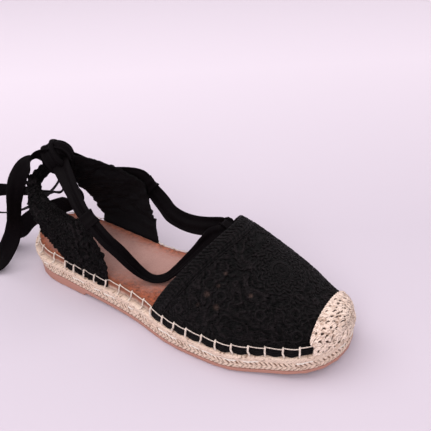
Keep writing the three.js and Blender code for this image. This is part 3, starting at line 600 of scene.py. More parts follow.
def mottle(tree, place, scale, grain, light, dark, contrast):
    return place_group(
        tree, MOTTLE, Vector=place, Scale=scale, Grain=grain, Light=light, Dark=dark,
        Contrast=contrast)


def new_material(name, roughness, **inputs):
    material = bpy.data.materials.new(name)
    material.use_nodes = True
    tree = material.node_tree
    skin = next(n for n in tree.nodes if n.type == "BSDF_PRINCIPLED").inputs
    skin["Roughness"].default_value = roughness
    for key, value in inputs.items():
        skin[key.replace("_", " ")].default_value = value
    return material, tree, skin, node(tree, "TexCoord", {}).outputs["Object"]


def attribute(tree, name):
    return node(tree, "Attribute", {}, attribute_name=name).outputs["Fac"]


# Lays colours over a first one, each through a mask of the mesh or of another node
def layered(tree, colour, *coats):
    for share, coat in coats:
        share = attribute(tree, share) if isinstance(share, str) else share
        colour = mix_colours(tree, share, colour, coat)
    return colour


def dress(tree, skin, colour, height, strength, distance):
    feed(tree, skin["Base Color"], colour)
    raised = node(tree, "Bump", {"Strength": strength, "Distance": distance, "Height": height})
    feed(tree, skin["Normal"], raised.outputs[0])


# Spun jute: pale crowns, painted brown shade in the gaps between its strands, and a light thread line with
# painted near-white glints
def material_jute():
    material, tree, skin, place = new_material(
        "jute", 0.9, Sheen_Weight=0.15, Specular_IOR_Level=0.25)
    shade_and_speck_brown = (0.20, 0.082, 0.036)
    tint = mottle(tree, place, 90.0, 1500.0, (1.0, 0.79, 0.65), (0.88, 0.63, 0.505), 1.6)
    fibre = place_group(tree, FIBRES, Vector=place, Stretch=(500, 500, 2600))[0]
    strand = sine(tree, plus(tree, attribute(tree, "lay"), times(tree, fibre, 1.6)), TURN)
    # painted shade: darker where each spun strand turns away
    strand_shade = clamp(tree, times(tree, minus(tree, 0.0, strand), 0.14))
    # painted shade and the random specks in brown; the thread's near-white colour is partly its own light
    # colour and partly a painted glint
    colour = layered(tree, tint[0], ("deep", shade_and_speck_brown), (strand_shade, shade_and_speck_brown), ("thread", (1.0, 0.96, 0.91)))
    height = plus(tree, plus(tree, fibre, tint["Grain"]), times(tree, strand, 0.45))
    dress(tree, skin, colour, height, 0.8, 0.0006)
    return material


# Black cotton thread work, with painted shade in its low places and creases and a painted highlight on the
# crowns of its loops; its bare places show the sock's colour darkened with painted shade
def material_crochet(name, gloss):
    material, tree, skin, place = new_material(
        name, 0.6, Sheen_Weight=0.006, Sheen_Roughness=0.5, Specular_IOR_Level=gloss)
    tint = mottle(
        tree, place, 120.0, 1800.0, (0.0062, 0.0040, 0.0046), (0.0030, 0.0019, 0.0022), 1.4)
    fibre = place_group(tree, FIBRES, Vector=place, Stretch=(1500, 1500, 1500))[0]
    loops = place_group(
        tree, LOOPS, Vector=place, Scale=400.0, Lay=attribute(tree, "lay"),
        Ordered=attribute(tree, "ordered"))
    # painted shade in the low places and the creases, a painted highlight on the crowns, and in the holes
    # the sock darkened with painted shade
    colour = layered(
        tree, tint[0], ("deep", (0.0012, 0.0008, 0.0009)),
        (loops["CreaseShade"], (0.0006, 0.0004, 0.0005)), (loops["CrownHighlight"], (0.0125, 0.0088, 0.0098)),
        ("hole", (0.075, 0.045, 0.038)), ("inside", (0.0042, 0.0031, 0.0038)))
    outside = minus(tree, 1.0, attribute(tree, "inside"))
    height = times(tree, loops["Height"], times(tree, outside, 2.6))
    fine = plus(tree, fibre, tint["Grain"])
    dress(tree, skin, colour, plus(tree, height, times(tree, fine, 0.35)), 1.0, 0.0011)
    return material


# Jute thread crocheted in clusters: pale crowns, with painted brown shade in the creases and painted dark
# shade in the holes between the clusters
def material_jute_crochet():
    material, tree, skin, place = new_material(
        "jute_crochet", 0.88, Sheen_Weight=0.1, Specular_IOR_Level=0.2)
    tint = mottle(tree, place, 110.0, 1700.0, (0.97, 0.78, 0.67), (0.82, 0.62, 0.52), 1.6)
    loops = place_group(
        tree, LOOPS, Vector=place, Scale=330.0, Motif=150.0, Turns=3.4,
        Lay=attribute(tree, "lay"), Ordered=attribute(tree, "ordered"))
    # painted shade: brown in the creases, dark in the pits
    shade = node(
        tree, "Math", {0: times(tree, loops["CreaseShade"], 0.62), 1: attribute(tree, "crease")},
        operation="MAXIMUM").outputs[0]
    colour = layered(tree, tint[0], (shade, (0.33, 0.165, 0.09)), ("deep", (0.045, 0.02, 0.012)))
    height = plus(tree, times(tree, loops["Height"], 1.8), tint["Grain"])
    dress(tree, skin, colour, height, 1.0, 0.0009)
    return material


# Napped sock, browner towards the stitched edge and burnt where the upper starts; below its
# edge the rim has the look of the jute that it hides
def material_sock():
    material, tree, skin, place = new_material(
        "sock", 0.85, Sheen_Weight=0.2, Specular_IOR_Level=0.2)
    nap = mottle(tree, place, 55.0, 1100.0, (0.41, 0.225, 0.19), (0.26, 0.135, 0.115), 1.3)
    burnt = mottle(tree, place, 420.0, 1300.0, (0.39, 0.092, 0.036), (0.10, 0.021, 0.007), 2.3)
    spun = mottle(tree, place, 330.0, 1300.0, (0.95, 0.72, 0.59), (0.36, 0.21, 0.145), 2.2)
    colour = layered(
        tree, nap[0], ("burn", burnt[0]), ("edge", (0.21, 0.06, 0.027)), ("raw", spun[0]))
    dress(tree, skin, colour, burnt["Grain"], 0.6, 0.0007)
    return material


# A mottled material with a weave across and along its mesh, or else with its own grain
def material_plain(name, roughness, mottled, weave, strength, distance, **inputs):
    material, tree, skin, place = new_material(name, roughness, **inputs)
    tint = mottle(tree, place, *mottled)
    height = tint["Grain"]
    if weave:
        flat = node(tree, "UVMap", {}).outputs[0]
        height = place_group(tree, WEAVE, Vector=flat, Across=weave[0], Along=weave[1])[0]
    dress(tree, skin, tint[0], height, strength, distance)
    return material


JUTE = material_jute()
CROCHET = material_crochet("crochet", 0.11)
WING_CROCHET = material_crochet("wing_crochet", 0.07)
CAP_CROCHET = material_jute_crochet()
RIBBON_CLOTH = material_plain(
    "ribbon", 0.62, (45.0, 700.0, (0.0035, 0.0022, 0.0028), (0.0019, 0.0012, 0.0015), 1.2),
    (150.0, 2400.0), 0.25, 0.0002, Sheen_Weight=0.005, Sheen_Roughness=0.35,
    Specular_IOR_Level=0.038)
SOCK_CLOTH = material_sock()
RUBBER_SKIN = material_plain(
    "rubber", 0.62, (35.0, 2600.0, (0.455, 0.215, 0.165), (0.355, 0.16, 0.12), 0.8), None,
    0.2, 0.0003)
THREAD = material_plain(
    "stitch_thread", 0.6, (160.0, 2600.0, (0.92, 0.80, 0.71), (0.72, 0.56, 0.47), 1.2),
    (12.0, 90.0), 0.6, 0.0003)


# Ribbons: columns across one, how far its middle stays over the floor, the range of its random
# phases and the lengths of its slow waves; then the thickness of each cloth, in metres
RIBBON_COLUMNS, FLOOR_GAP, PHASES, SLOW_WAVES = 15, 0.4, 6.28, (17, 7.3, 30)
RIBBON_CLOTH_THICK, KEEPER_THICK, KNOT_THICK = 0.0007, 0.0006, 0.0009


# Twist-free rows of a ribbon, with a crease, curled edges and slow undulation
def ribbon_points(rows, steps, crease, seed):
    line = route([(*r, 1) if len(r) == 6 else r for r in rows], steps)
    p, wide, fold = line[:, :3], line[:, 3:6], line[:, 6]
    tangent = np.gradient(p, axis=0)
    tangent /= np.linalg.norm(tangent, axis=1)[:, None]
    wide = wide - (wide * tangent).sum(1)[:, None] * tangent
    wide /= np.linalg.norm(wide, axis=1)[:, None]
    up = np.cross(wide, tangent)
    v = np.linspace(-1, 1, RIBBON_COLUMNS)
    s = np.concatenate([[0], np.cumsum(np.linalg.norm(np.diff(p, axis=0), axis=1))])
    a, b, c = np.random.default_rng(seed).random(3) * PHASES
    drift = 0.35 * np.sin(s / SLOW_WAVES[0] + a) + 0.25 * np.sin(s / SLOW_WAVES[1] + b)
    lift = (crease * (np.cos(math.pi * (v[None] + 0.25 * drift[:, None]) * 1.5) * 0.6
                      + 0.4 * np.sin(math.pi * v[None] * 2.4 + c + s[:, None] / SLOW_WAVES[2])))
    lift = lift * np.minimum(1, 1.6 * (1.05 - fold[:, None]) + 0.45)
    half = RIBBON / 2 * fold
    grid = (p[:, None] + wide[:, None] * (v[None, :, None] * half[:, None, None])
            + up[:, None] * lift[..., None])
    return grid, p


def ribbon_piece(name, rows, nodes, steps=8, crease=0.5, seed=1):
    grid, path = ribbon_points(rows, steps, crease, seed)
    grid[..., 2] = np.maximum(grid[..., 2], FLOOR_GAP)
    obj = lay_grid(name, grid)
    thicken(obj, RIBBON_CLOTH_THICK, 0)
    finish_piece(obj, RIBBON_CLOTH, nodes)
    return obj, metres(path)


def build_ribbons(knot):
    ribbon_piece("tie_ribbon", TIE, ["tie_strap"], steps=6, crease=1.1, seed=4)
    for name, rows, node, far, on in (
            ("bow_ribbon", BOW_LOOP, "bow_loop", "object", (knot,)),
            ("lateral_tail", LATERAL_END, "ribbon_end_lateral", "bare", ()),
            ("medial_tail", MEDIAL_END, "ribbon_end_medial", "bare", ())):
        obj, path = ribbon_piece(name, rows, [node], seed=len(name))


def signed_power(value, power):
    return np.sign(value) * np.abs(value) ** power


# Each keeper is a band round the ribbon, pinched a little in its middle
def build_keepers():
    turn = np.linspace(0, TURN, 49)
    v = np.linspace(-0.5, 0.5, 13)[:, None, None]
    for name, (at, along, across, length, fold) in KEEPERS.items():
        z = np.array(along) / np.linalg.norm(along)
        x = np.array(across) - z * np.dot(across, z)
        x /= np.linalg.norm(x)
        w = signed_power(np.cos(turn), 0.3) * (RIBBON * fold / 2 + 1.0)
        h = signed_power(np.sin(turn), 0.55) * (RIBBON_THICK / 2 + 1.1)
        grid = (np.array(at) + v * length * z
                + w[None, :, None] * (0.9 + 0.14 * np.abs(2 * v) ** 2) * x
                + h[None, :, None] * (1.05 + 0.3 * np.sin(11 * v)) * np.cross(z, x))
        obj = lay_grid(name + "_cloth", grid)
        recalculate(obj, KEEPER_MERGE)
        thicken(obj, KEEPER_THICK, -1)
        finish_piece(obj, RIBBON_CLOTH, [name])


# The core of the knot: its half axes, and bands round it as axis, half width and shift
KNOT_CORE = (8.1, 8.55, 9.9)
KNOT_BANDS = [
    ((0.35, 0.2, 1), 0.34, 0.1), ((1, 0.5, 0.15), 0.42, 0.45), ((-0.7, 0.9, 0.5), 0.38, -0.3),
]
# Each turn of the knot: its two half axes, the way across it, its reach on each, its fold
KNOT_TURNS = [
    ((0.83, 0.555, 0), (0, 0, 1), (-0.555, 0.83, 0), 9.8, 10.2, 0.85),
    ((0.45, 0.3, -0.84), (-0.555, 0.83, 0), (0.7, 0.47, 0.54), 10.8, 10.6, 0.8),
]


# The knot: a core under turns of folded ribbon
def build_knot():
    use()
    bpy.ops.mesh.primitive_uv_sphere_add(segments=96, ring_count=64, radius=1)
    core = bpy.context.object
    p = read_points(core.data).astype(float)
    lift = np.zeros(len(p))
    for axis, half, shift in KNOT_BANDS:
        d = p @ (np.array(axis) / np.linalg.norm(axis)) - shift * 0.5
        band = np.clip(1 - (np.abs(d) / half) ** 4, 0, 1) ** 0.5
        lift = np.maximum(lift, band * (0.82 + 0.18 * np.cos(d * 26)))
    write_points(core.data, p * KNOT_CORE * (0.86 + 0.24 * lift[:, None]) + KNOT)
    pieces = [core]
    around = np.linspace(0, TURN, 13)[:, None]
    for k, (first, second, wide, reach, rise, fold) in enumerate(KNOT_TURNS):
        ring = (np.array(KNOT) + reach * np.cos(around) * np.array(first)
                + rise * np.sin(around) * np.array(second))
        grid, _ = ribbon_points([(*q, *wide, fold) for q in ring], 8, 2.2, 30 + k)
        pieces.append(lay_grid(f"turn_{k}", grid))
        thicken(pieces[-1], KNOT_THICK, 0)
    knot = join_pieces("knot_turns", pieces)
    finish_piece(knot, RIBBON_CLOTH, ["knot"])
    return knot


# Sole
# Rings that close one round the sole inwards to the sole's middle line
def closing_rings(ring, x, shares, lift):
    middle = np.clip(x, HEEL_ROUND, LENGTH - TOE_ROUND)
    rings = []
    for share in shares:
        inner_x = mix(middle, ring[:, 0], share)
        inner_y = mix(centre(middle), ring[:, 1], share)
        rings.append(np.stack([inner_x, inner_y, rope_top(inner_x) + lift], 1))
    return rings


# Distance from the middle of each pitch, as a share: 0 there and 1 at its ends
def zigzag(value, pitch):
    return np.abs((value / pitch) % 1 - 0.5) * 2


# The jute: length and slant of a braid's strand, height of a row of it as a share of the side,
# pitch of the wound rope, and the columns and rows of the grid
STRAND, SLANT, BRAID_ROW, COIL, JUTE_GRID = 3.0, 2.6, 0.31, 2.3, (1500, 46)


def build_jute():
    count, rows = JUTE_GRID
    shape = (rows, count + 1)
    xy, out, s = outline(count)
    x = xy[:, 0]
    low, ledge = rubber_top(x) + GAP, rope_top(x) - LAP_DROP
    v = np.linspace(0, 1, rows)[:, None]
    tall = (ledge - low)[None]
    h = v * tall
    # two rows of slanted strands, a light thread over them with painted glints, then fuzzy wound rope
    braid = BRAID_ROW * tall
    first = h / braid
    run = s[None] + 0.8 * (noise(shape, (8, 330), 17) - 0.5)
    slanted = run + np.where(first < 1, 1 - first, first - 1) * SLANT
    strand = zigzag(slanted, s[-1] / round(s[-1] / STRAND))
    across = np.abs(2 * (first % 1) - 1)
    braided = first < 2
    rope_place = (first - 2) / np.maximum(tall / braid - 2, 1e-3)
    coil = zigzag(run - h * 1.1, COIL)
    wound = ridge((rope_place - 0.5) * 2, 1.15) * (1 - 0.3 * coil ** 4)
    relief = np.where(braided, (1 - 0.9 * strand ** 5) * (1 - 0.7 * across ** 5), wound)
    relief = relief + 0.3 * (noise(shape, (26, 720), 3) - 0.5)
    relief = relief + 0.16 * (noise(shape, (10, 240), 4) - 0.5)
    # painted highlight: the light thread is broken into near-white dashes that stand for its glints
    thread = np.exp(-((first - 2.0 - 0.12 * np.sin(s[None] / 1.7)) * braid / 0.42) ** 2)
    thread = thread * smooth((noise(shape, (2, 110), 12) - 0.42) / 0.12)
    relief = np.where(thread > 0.3, np.maximum(relief, 1.15 * thread), relief)
    # painted shade: dark strokes in the gaps between the slanted strands, darkening in the coil's creases
    # and in the low places of the relief; the random brown specks are the jute's own tone
    strand_gap_shade = smooth((strand - 0.48) / 0.25) * (1 - across ** 4) * braided
    strand_gap_shade = strand_gap_shade * np.where(first < 1, 0.5, 1.0)
    strand_gap_shade = strand_gap_shade * smooth((noise(shape, (4, 200), 33) - 0.05) / 0.3)
    creases = 0.35 * smooth((coil - 0.7) / 0.25) * (first > 2.15) * noise(shape, (9, 300), 37)
    specks = 0.8 * smooth((noise(shape, (18, 420), 29) - 0.76) / 0.14)
    deep = np.maximum.reduce([np.clip(0.5 - relief, 0, 1), strand_gap_shade, specks, creases])
    inset = 0.25 + 0.95 * (1 - relief)
    rings = [on_outline(xy, out, inset[i], (low + tall * v[i])[0]) for i in range(rows)]
    # under the rim the rope closes inwards and upwards
    for drop, inner in (
            (LAP_DROP, rope_inset(LAP_DROP)), (1.0, rope_inset(1.0)), (0.0, rope_inset(0) + 1)):
        rings.append(on_outline(xy, out, inner, rope_top(x) - drop))
    rings += closing_rings(rings[-1], x, (0.5, 0.0), 0.0)
    more = ((0, len(rings) - rows), (0, 0))
    # the rope hidden under the rim gets half of the painted shade
    masks = {
        "deep": np.pad(np.clip(deep - thread, 0, 1), more, constant_values=0.5),
        "thread": np.pad(np.clip(thread, 0, 1) * 0.85, more),
        "lay": np.pad(slanted / 1.05, more, mode="edge"),
    }
    obj = lay_grid("jute_sole", swell(np.array(rings)), masks)
    recalculate(obj, MERGE)
    finish_piece(obj, JUTE, ["midsole"])


# Rubbed brown patches of the sock: middle, reach along and across, strength; they lie beside
# the wing's foot, at the throat corner and on the far edge
RUBBED = [
    (108, -35, 27, 15, 1.1), (128, -34, 18, 20, 1.1), (60, -28, 40, 8, 0.75),
    (96, 26, 44, 9, 0.55), (20, -20, 20, 9, 0.5), (15, 15, 20, 8, 0.4),
]
# Length of the scallops along the sock's rim, columns of its grid, rings that close its middle
SCALLOP, SOCK_COLUMNS, SOCK_RINGS = 9.6, 900, 34


# The sock with its rim over the rope; stitches pull its edge into shallow scallops
def build_sock():
    xy, out, s = outline(SOCK_COLUMNS)
    x = xy[:, 0]
    pull = 0.28 * (0.5 - 0.5 * np.cos(TURN * s / SCALLOP)) ** 2
    top, under = rope_top(x), rope_top(x) + GAP
    lap = rope_inset(0) - GAP
    profile = [
        (rope_inset(RIM_DROP) - GAP, top - RIM_DROP), (rope_inset(RIM_DROP) - GAP - RIM, top - RIM_DROP),
        (rope_inset(2) - GAP - RIM, top - 2), (rope_inset(0.6) - GAP - RIM, top - 0.6),
        (lap - RIM, under), (lap - RIM * 0.8, under + SOCK * 0.7),
        (lap - RIM / 2, under + SOCK * 0.92), (lap + RIM * 0.2, under + SOCK),
        (rope_inset(0) + RIM, under + SOCK * 0.97), (rope_inset(0) + DISH / 2, under + SOCK * 0.85),
        (rope_inset(0) + DISH, under + SOCK * 0.75),
    ]
    rings = [
        on_outline(xy, out, inset + pull * (k > 0), height)
        for k, (inset, height) in enumerate(profile)]
    inner = rings[-1]
    middle = np.clip(x, HEEL_ROUND, LENGTH - TOE_ROUND)
    reach = np.hypot(inner[:, 0] - middle, inner[:, 1] - centre(middle))
    shares = np.linspace(1, 0, SOCK_RINGS)[1:]
    rings += closing_rings(inner, x, shares, GAP + SOCK * 0.75)
    depth = [0.0] * 8 + [1.2, 3.0, 5.0]
    away = np.array([np.full_like(reach, d) for d in depth] + [depth[-1] + reach * (1 - k) for k in shares])
    points = swell(np.array(rings))
    px, py = points[..., 0], points[..., 1]
    burn = np.exp(-(away / 5.0) ** 1.3)
    for cx, cy, rx, ry, power in RUBBED:
        burn = np.maximum(burn, power * np.exp(-(((px - cx) / rx) ** 2 + ((py - cy) / ry) ** 2)))
    burn = np.clip(burn + 0.3 * (noise(burn.shape, (30, 260), 8) - 0.5) * (burn > 0.08), 0, 1)
    raw, edge = np.zeros(burn.shape), np.zeros(burn.shape)
    raw[:2], raw[2] = 1, 0.05
    edge[2:6], edge[6:8] = 0.9, 0.45
    obj = lay_grid("sock", points, {"burn": burn, "raw": raw, "edge": edge})
    recalculate(obj, MERGE)
    finish_piece(obj, SOCK_CLOTH, ["insole"])


# A bent thread of round section through points
def thread_points(path, radius, sides=8):
    p = np.asarray(path, float)
    tangent = np.gradient(p, axis=0)
    tangent /= np.maximum(np.linalg.norm(tangent, axis=1), 1e-9)[:, None]
    a = np.cross(tangent, [0.31, 0.22, 0.92])
    a /= np.linalg.norm(a, axis=1)[:, None]
    b = np.cross(tangent, a)
    turn = np.linspace(0, TURN, sides + 1)[None, :, None]
    end = np.ones((len(p), 1, 1))
    end[0] = end[-1] = 0.45
    return p[:, None] + radius * end * (np.cos(turn) * a[:, None] + np.sin(turn) * b[:, None])


# Outside of whatever lies at the stitched edge: the margin of the upper or a wing, or the bare rim
def margin_inset(covered, drop):
    return UPPER_INSET - LAP_FLARE * drop / LAP_DROP if covered else rope_inset(drop) - GAP - RIM


# The blanket stitch: places round the outline, pitch and first place of the far side's stitches,
# radius of the line, and where it ends at the cap, from the front of the sole; then radius and
# foot of a bar, over the bare rim and over the upper or a wing
PLACES, FAR_PITCH, FAR_FIRST, LINE_RADIUS, TO_CAP = 3000, 9.8, 238, 0.34, 11
BAR_RADIUS, BAR_FOOT = (0.5, 0.62), (5.6, 5.2)


def build_stitches():
    xy, out, s = outline(PLACES)
    x = xy[:, 0]
    toe = int(np.argmax(x))
    side = np.where(np.arange(PLACES + 1) <= toe, -1, 1)
    covered = x > THROAT_CORNER - 2
    for there, (front, rear) in ((side < 0, LATERAL_FEET), (side > 0, MEDIAL_FEET)):
        covered = covered | (there & (x > rear - 1) & (x < front + 1))

    def at(i, inset, drop):
        return swell(on_outline(xy[i:i + 1], out[i:i + 1], inset, edge_top(x[i]) - drop))[0]

    def edge(i, drop, lift):
        return at(i, margin_inset(covered[i], min(drop, LAP_DROP)) - lift, drop)

    def nearest(start, stop, value):
        return int(np.argmin(np.abs(x[start:stop] - value))) + start

    near = [nearest(0, toe, place) for place in STITCH_X]
    step = s[-1] / PLACES
    far = np.arange(nearest(toe, None, FAR_FIRST), PLACES - 4 / step, FAR_PITCH / step).astype(int)
    marks = near + far.tolist()
    rng = np.random.default_rng(11)
    pieces = []
    for k, i in enumerate(marks):
        low = int(np.clip(i + int(rng.integers(-5, 6)), 0, PLACES))
        kind = int(covered[i])
        down = [edge(i, *place) for place in ((-0.5, -0.5), (-0.3, 0.35), (0.9, 0.65), (3.0, 0.75))]
        down += [edge(low, 4.7, 0.65), at(low, 0.6, BAR_FOOT[kind]), at(low, 1.8, BAR_FOOT[kind] + 0.2)]
        pieces.append(lay_grid(f"down_{k}", thread_points(route(down, 3), BAR_RADIUS[kind])))

    def line(name, points):
        pieces.append(lay_grid(name, thread_points(route(points, 2), LINE_RADIUS)))

    sag = 0.3 * np.sin(np.linspace(0, math.pi, 7)) + np.linspace(-0.5, 0.45, 7)
    for k, (i, j) in enumerate(zip(marks, marks[1:] + [marks[0] + PLACES])):
        if i != near[-1]:
            span = np.linspace(i, j, 7).astype(int)
            line(f"line_{k}", [edge(a % PLACES, float(d), 0.45) for a, d in zip(span, sag)])
    corner = nearest(0, toe, LENGTH - TO_CAP)
    line("line_to_cap", [edge(int(a), -0.3, 0.5) for a in np.linspace(near[-1], corner, 6)])
    obj = join_pieces("blanket_stitch", pieces)
    recalculate(obj, MERGE)
    finish_piece(obj, THREAD)


# Upper: rows of the lap, how far the cap's edge sweeps forward and up to which share of the
# height, and the columns and rows of each grid, fine and final
LAP_ROWS, CAP_SWEEP, SWEEP_HEIGHT = 6, 2.2, 0.4
VAMP_FINE, VAMP_GRID, CAP_FINE, CAP_GRID = (500, 320), (186, 250), (420, 160), (84, 240)


# Rows from the rear edge of the upper to its tip, with the laps down both sides
def upper_grid(start, depth, cols, rows):
    turn = np.linspace(0, 1, cols)
    run = np.sin(np.linspace(0, 1, rows) * math.pi / 2) ** 1.15
    tip = LENGTH - UPPER_INSET - depth
    x = mix(start(np.sin(turn * math.pi))[None], tip, run[:, None])
    arch = last_point(x, np.broadcast_to(turn[None], x.shape), depth)
    sides = []
    for side in (-1, 1):
        part = []
        for share in 1 - np.arange(LAP_ROWS) / LAP_ROWS:
            inset = UPPER_INSET + depth - LAP_FLARE * share
            xs = mix(float(start(np.array(0.0))), LENGTH - inset, run)
            y = centre(xs) + side * half_width(xs, inset)
            part.append(np.stack([xs, y, edge_top(xs) - LAP_DROP * share], -1))
        sides.append(np.stack(part, 1))
    return np.concatenate([sides[0], arch, sides[1][:, ::-1]], 1)


# The same surface, with its rows and its columns evenly spaced
def even_rows(points, rows, cols):
    picked = []
    for run, axis, count in zip(run_lengths(points), (1, 0), (rows, cols)):
        share = run.mean(axis)
        at = np.interp(np.linspace(0, 1, count), share / share[-1], np.arange(len(share)))
        first = np.minimum(at.astype(int), len(share) - 2)
        picked.append((first, at - first))
    (i, fi), (j, fj) = picked
    fi, fj = fi[:, None, None], fj[None, :, None]
    a = mix(points[np.ix_(i, j)], points[np.ix_(i, j + 1)], fj)
    b = mix(points[np.ix_(i + 1, j)], points[np.ix_(i + 1, j + 1)], fj)
    return mix(a, b, fi)


def throat(height):
    return mix(THROAT_CORNER, THROAT_PEAK, height ** THROAT_CURVE)


# Front edge of the crocheted upper, swept forward where it meets the stitches
def cap_line(height):
    sweep = CAP_SWEEP * np.clip(1 - height / SWEEP_HEIGHT, 0, 1) ** 2
    return mix(CAP_CORNER, CAP_PEAK, height) + sweep


# Lets the lap under the stitches bulge down between the near bars and rise at each bar
def bulge_lap(points, away):
    phase = np.interp(points[..., 0], STITCH_X, np.arange(len(STITCH_X)))
    weight = np.clip(1 - away / LAP_DROP, 0, 1)
    points[..., 2] += weight * (0.5 - 1.3 * np.sin(math.pi * phase) ** 2)


# Falls from 1 to 0 over a width that starts at a distance
def fade(distance, start, width):
    return 1 - smooth((distance - start) / width)


# Lets the cords of a place follow a phase of their own where its share is the larger
def order(masks, share, phase):
    masks["lay"] = np.where(share > masks["ordered"], phase, masks["lay"])
    masks["ordered"] = np.maximum(share, masks["ordered"])


# A round motif: a ringed disc with wavy loops round it
def rosette(points, middle, disc, reach, petals, field, masks):
    d = points - np.array(middle, float)
    near = np.linalg.norm(d, axis=-1)
    i, j = np.unravel_index(np.argmin(near), near.shape)
    normal = sheet_normals(points)[i, j]
    e1 = np.cross(normal, [0.2, 1, 0.1])
    e1 /= np.linalg.norm(e1)
    e2 = np.cross(normal, e1)
    angle = np.arctan2(d @ e2, d @ e1)
    wavy = 0.42 * np.cos(angle * petals / 2) * smooth((near - disc) / 2)
    order(masks, 0.85 * fade(near, reach - 0.5, 2), near / 2.5 + wavy)
    loops = np.abs(np.cos((angle * petals + 1.1 * np.sin(near * 1.1)) / 2)) ** 0.7
    loops = loops * (0.75 + 0.25 * waves(near, 3.4))
    inside = np.maximum.reduce([
        np.where(near < disc, waves(near - 0.4, 1.9), loops),
        ridge(near - disc - 0.3, 1.0), ridge(near - reach + 0.5, 0.9)])
    return mix(field, inside, fade(near, reach, 0.9))


# A straight stem with bars aslant on both sides
def vein(points, a, b, half, field):
    a, b = np.array(a, float), np.array(b, float)
    length = np.linalg.norm(b - a)
    along = (b - a) / length
    d = points - a
    t = d @ along
    off = np.linalg.norm(d - t[..., None] * along, axis=-1)
    pattern = np.maximum(waves(t + off * 1.1, 2.2), ridge(off, 0.9))
    out = np.maximum(smooth(off - half), smooth((np.maximum(-t, t - length)) / 1.5))
    return mix(pattern, field, out)


# Rows of v-shaped stitches that wander, and masks for cords without an order of their own
def crochet_field(s, t, seed):
    n, m = noise(s.shape, (26, 40), seed), noise(s.shape, (17, 23), seed + 1)
    field = v_stitches(t + 2.6 * (m - 0.5), s + 2.6 * (n - 0.5), 3.0, 3.1, 0.72)
    return field, {"lay": np.zeros(s.shape), "ordered": np.zeros(s.shape)}


# Middle, radius of the disc, reach and petals of each round motif
ROSETTES = [
    ((205.5, -1.7, 55.6), 6.2, 17.0, 26), ((179.2, -29.5, 44.9), 3.4, 7.8, 12),
    ((223.0, -17.4, 40.0), 3.4, 8.4, 12), ((227.5, -24.8, 29.9), 3.2, 8.0, 12),
    ((204.8, -27.5, 39.0), 3.0, 7.6, 12), ((229.2, -0.1, 40.5), 3.2, 7.8, 12),
    ((197, 22, 50), 4.4, 12.0, 18), ((176, 24, 52), 3.6, 9.0, 14), ((220, 20, 38), 3.6, 9.0, 14),
    ((200, 38, 30), 3.4, 8.4, 12), ((172, 39, 34), 3.4, 8.4, 12), ((153.5, -38, 31), 3.0, 7.4, 12),
]
# Both ends and half the width of each vein
VEINS = [((180, -7, 64.5), (186.5, -19.5, 53.5), 4.2), ((178, 8, 66), (186, 22, 56), 4.0)]
# Middle and radius of each small hole
HOLES = [
    (170.3, -31.3, 44.2, 1.9), (166, -35.5, 37.5, 1.4), (178, -33.8, 38.9, 1.9),
    (177.3, -20.9, 55.5, 1.2), (175.7, -26.9, 49.5, 1.2), (195.9, -23.2, 47.1, 1.3),
]


# Across the throat's border: width of the looped edge, middles of its two cords, where the
# border ends, middle of the groove; and on the stitched edges, the cord and the border's end
LOOPED, CORDS, BORDER, GROOVE, EDGE_CORD, EDGE_BORDER = 6.4, (7.2, 9.0), 9.9, 10.6, 5.2, 6.0


def build_vamp():
    points = even_rows(upper_grid(throat, 0.0, *VAMP_FINE), *VAMP_GRID)
    bulge_lap(points, run_lengths(points)[1])
    normals = outward_normals(points, 2)
    s, t = run_lengths(points)
    far_t = t[:, -1:] - t
    field, masks = crochet_field(s, t, 21)
    for motif in ROSETTES:
        field = rosette(points, *motif, field, masks)
    for stem in VEINS:
        field = vein(points, *stem, field)
    # border along the throat: looped edge, two cords, then a groove
    border = np.where(
        s < LOOPED, v_stitches(t, s + 0.4, 2.7, 3.3, 0.75),
        np.maximum(ridge(s - CORDS[0], 0.85), ridge(s - CORDS[1], 0.85)))
    field = mix(field, np.maximum(border, ridge(s - 0.5, 0.8)), fade(s, BORDER, 0.8))
    order(masks, 0.9 * fade(s, 9.5, 1.0), (t + 0.7 * np.abs(s - 5)) / 3.1)
    order(masks, 0.95 * ridge(s - GROOVE, 1.6), (s - GROOVE) / 2.6 + 0.25)
    # ribbed border along both stitched edges
    lap = LAP_DROP + 0.4
    for d in (t, far_t):
        ribs = waves(s + 0.5 * np.sin(d * 1.4), 1.7) * 0.8
        band = np.where(d < lap, 0.35 + 0.2 * waves(s, 1.2), ribs)
        cord = d - lap - EDGE_CORD
        band = np.where(np.abs(cord) < 1.0, ridge(cord, 0.95), band)
        field = mix(field, band, fade(d, lap + EDGE_BORDER, 0.8))
        order(masks, 0.7 * fade(d, lap - 0.6, 0.8), d / 1.5)
    # the holes are painted with the sock's colour darkened by painted shade, on a shell that stays whole
    hole = np.zeros(s.shape)
    for *middle, r in HOLES:
        d = np.linalg.norm(points - np.array(middle), axis=-1)
        hole = np.maximum(hole, np.clip(1.4 - d / r, 0, 1))
        field = np.where(d < r * 1.1, 0, field)
    relief = field - 0.45 + 0.3 * (noise(s.shape, (120, 160), 5) - 0.5)
    rim = np.clip(np.minimum(s, np.minimum(t, far_t)), 0, 1)
    relief = relief * rim - 0.1 * (1 - rim)
    # painted shade in the low places of the thread work
    masks.update(deep=np.clip(1.05 - 1.35 * field, 0, 1), hole=hole)
    obj = shell("vamp_crochet", points, normals, UPPER_WALL, relief, masks)
    finish_piece(obj, CROCHET, ["vamp"])


# Length and width of the cap's clusters, and height of a row of its stitches
CLUSTER, STITCH_ROW = (4.0, 4.3), 2.7


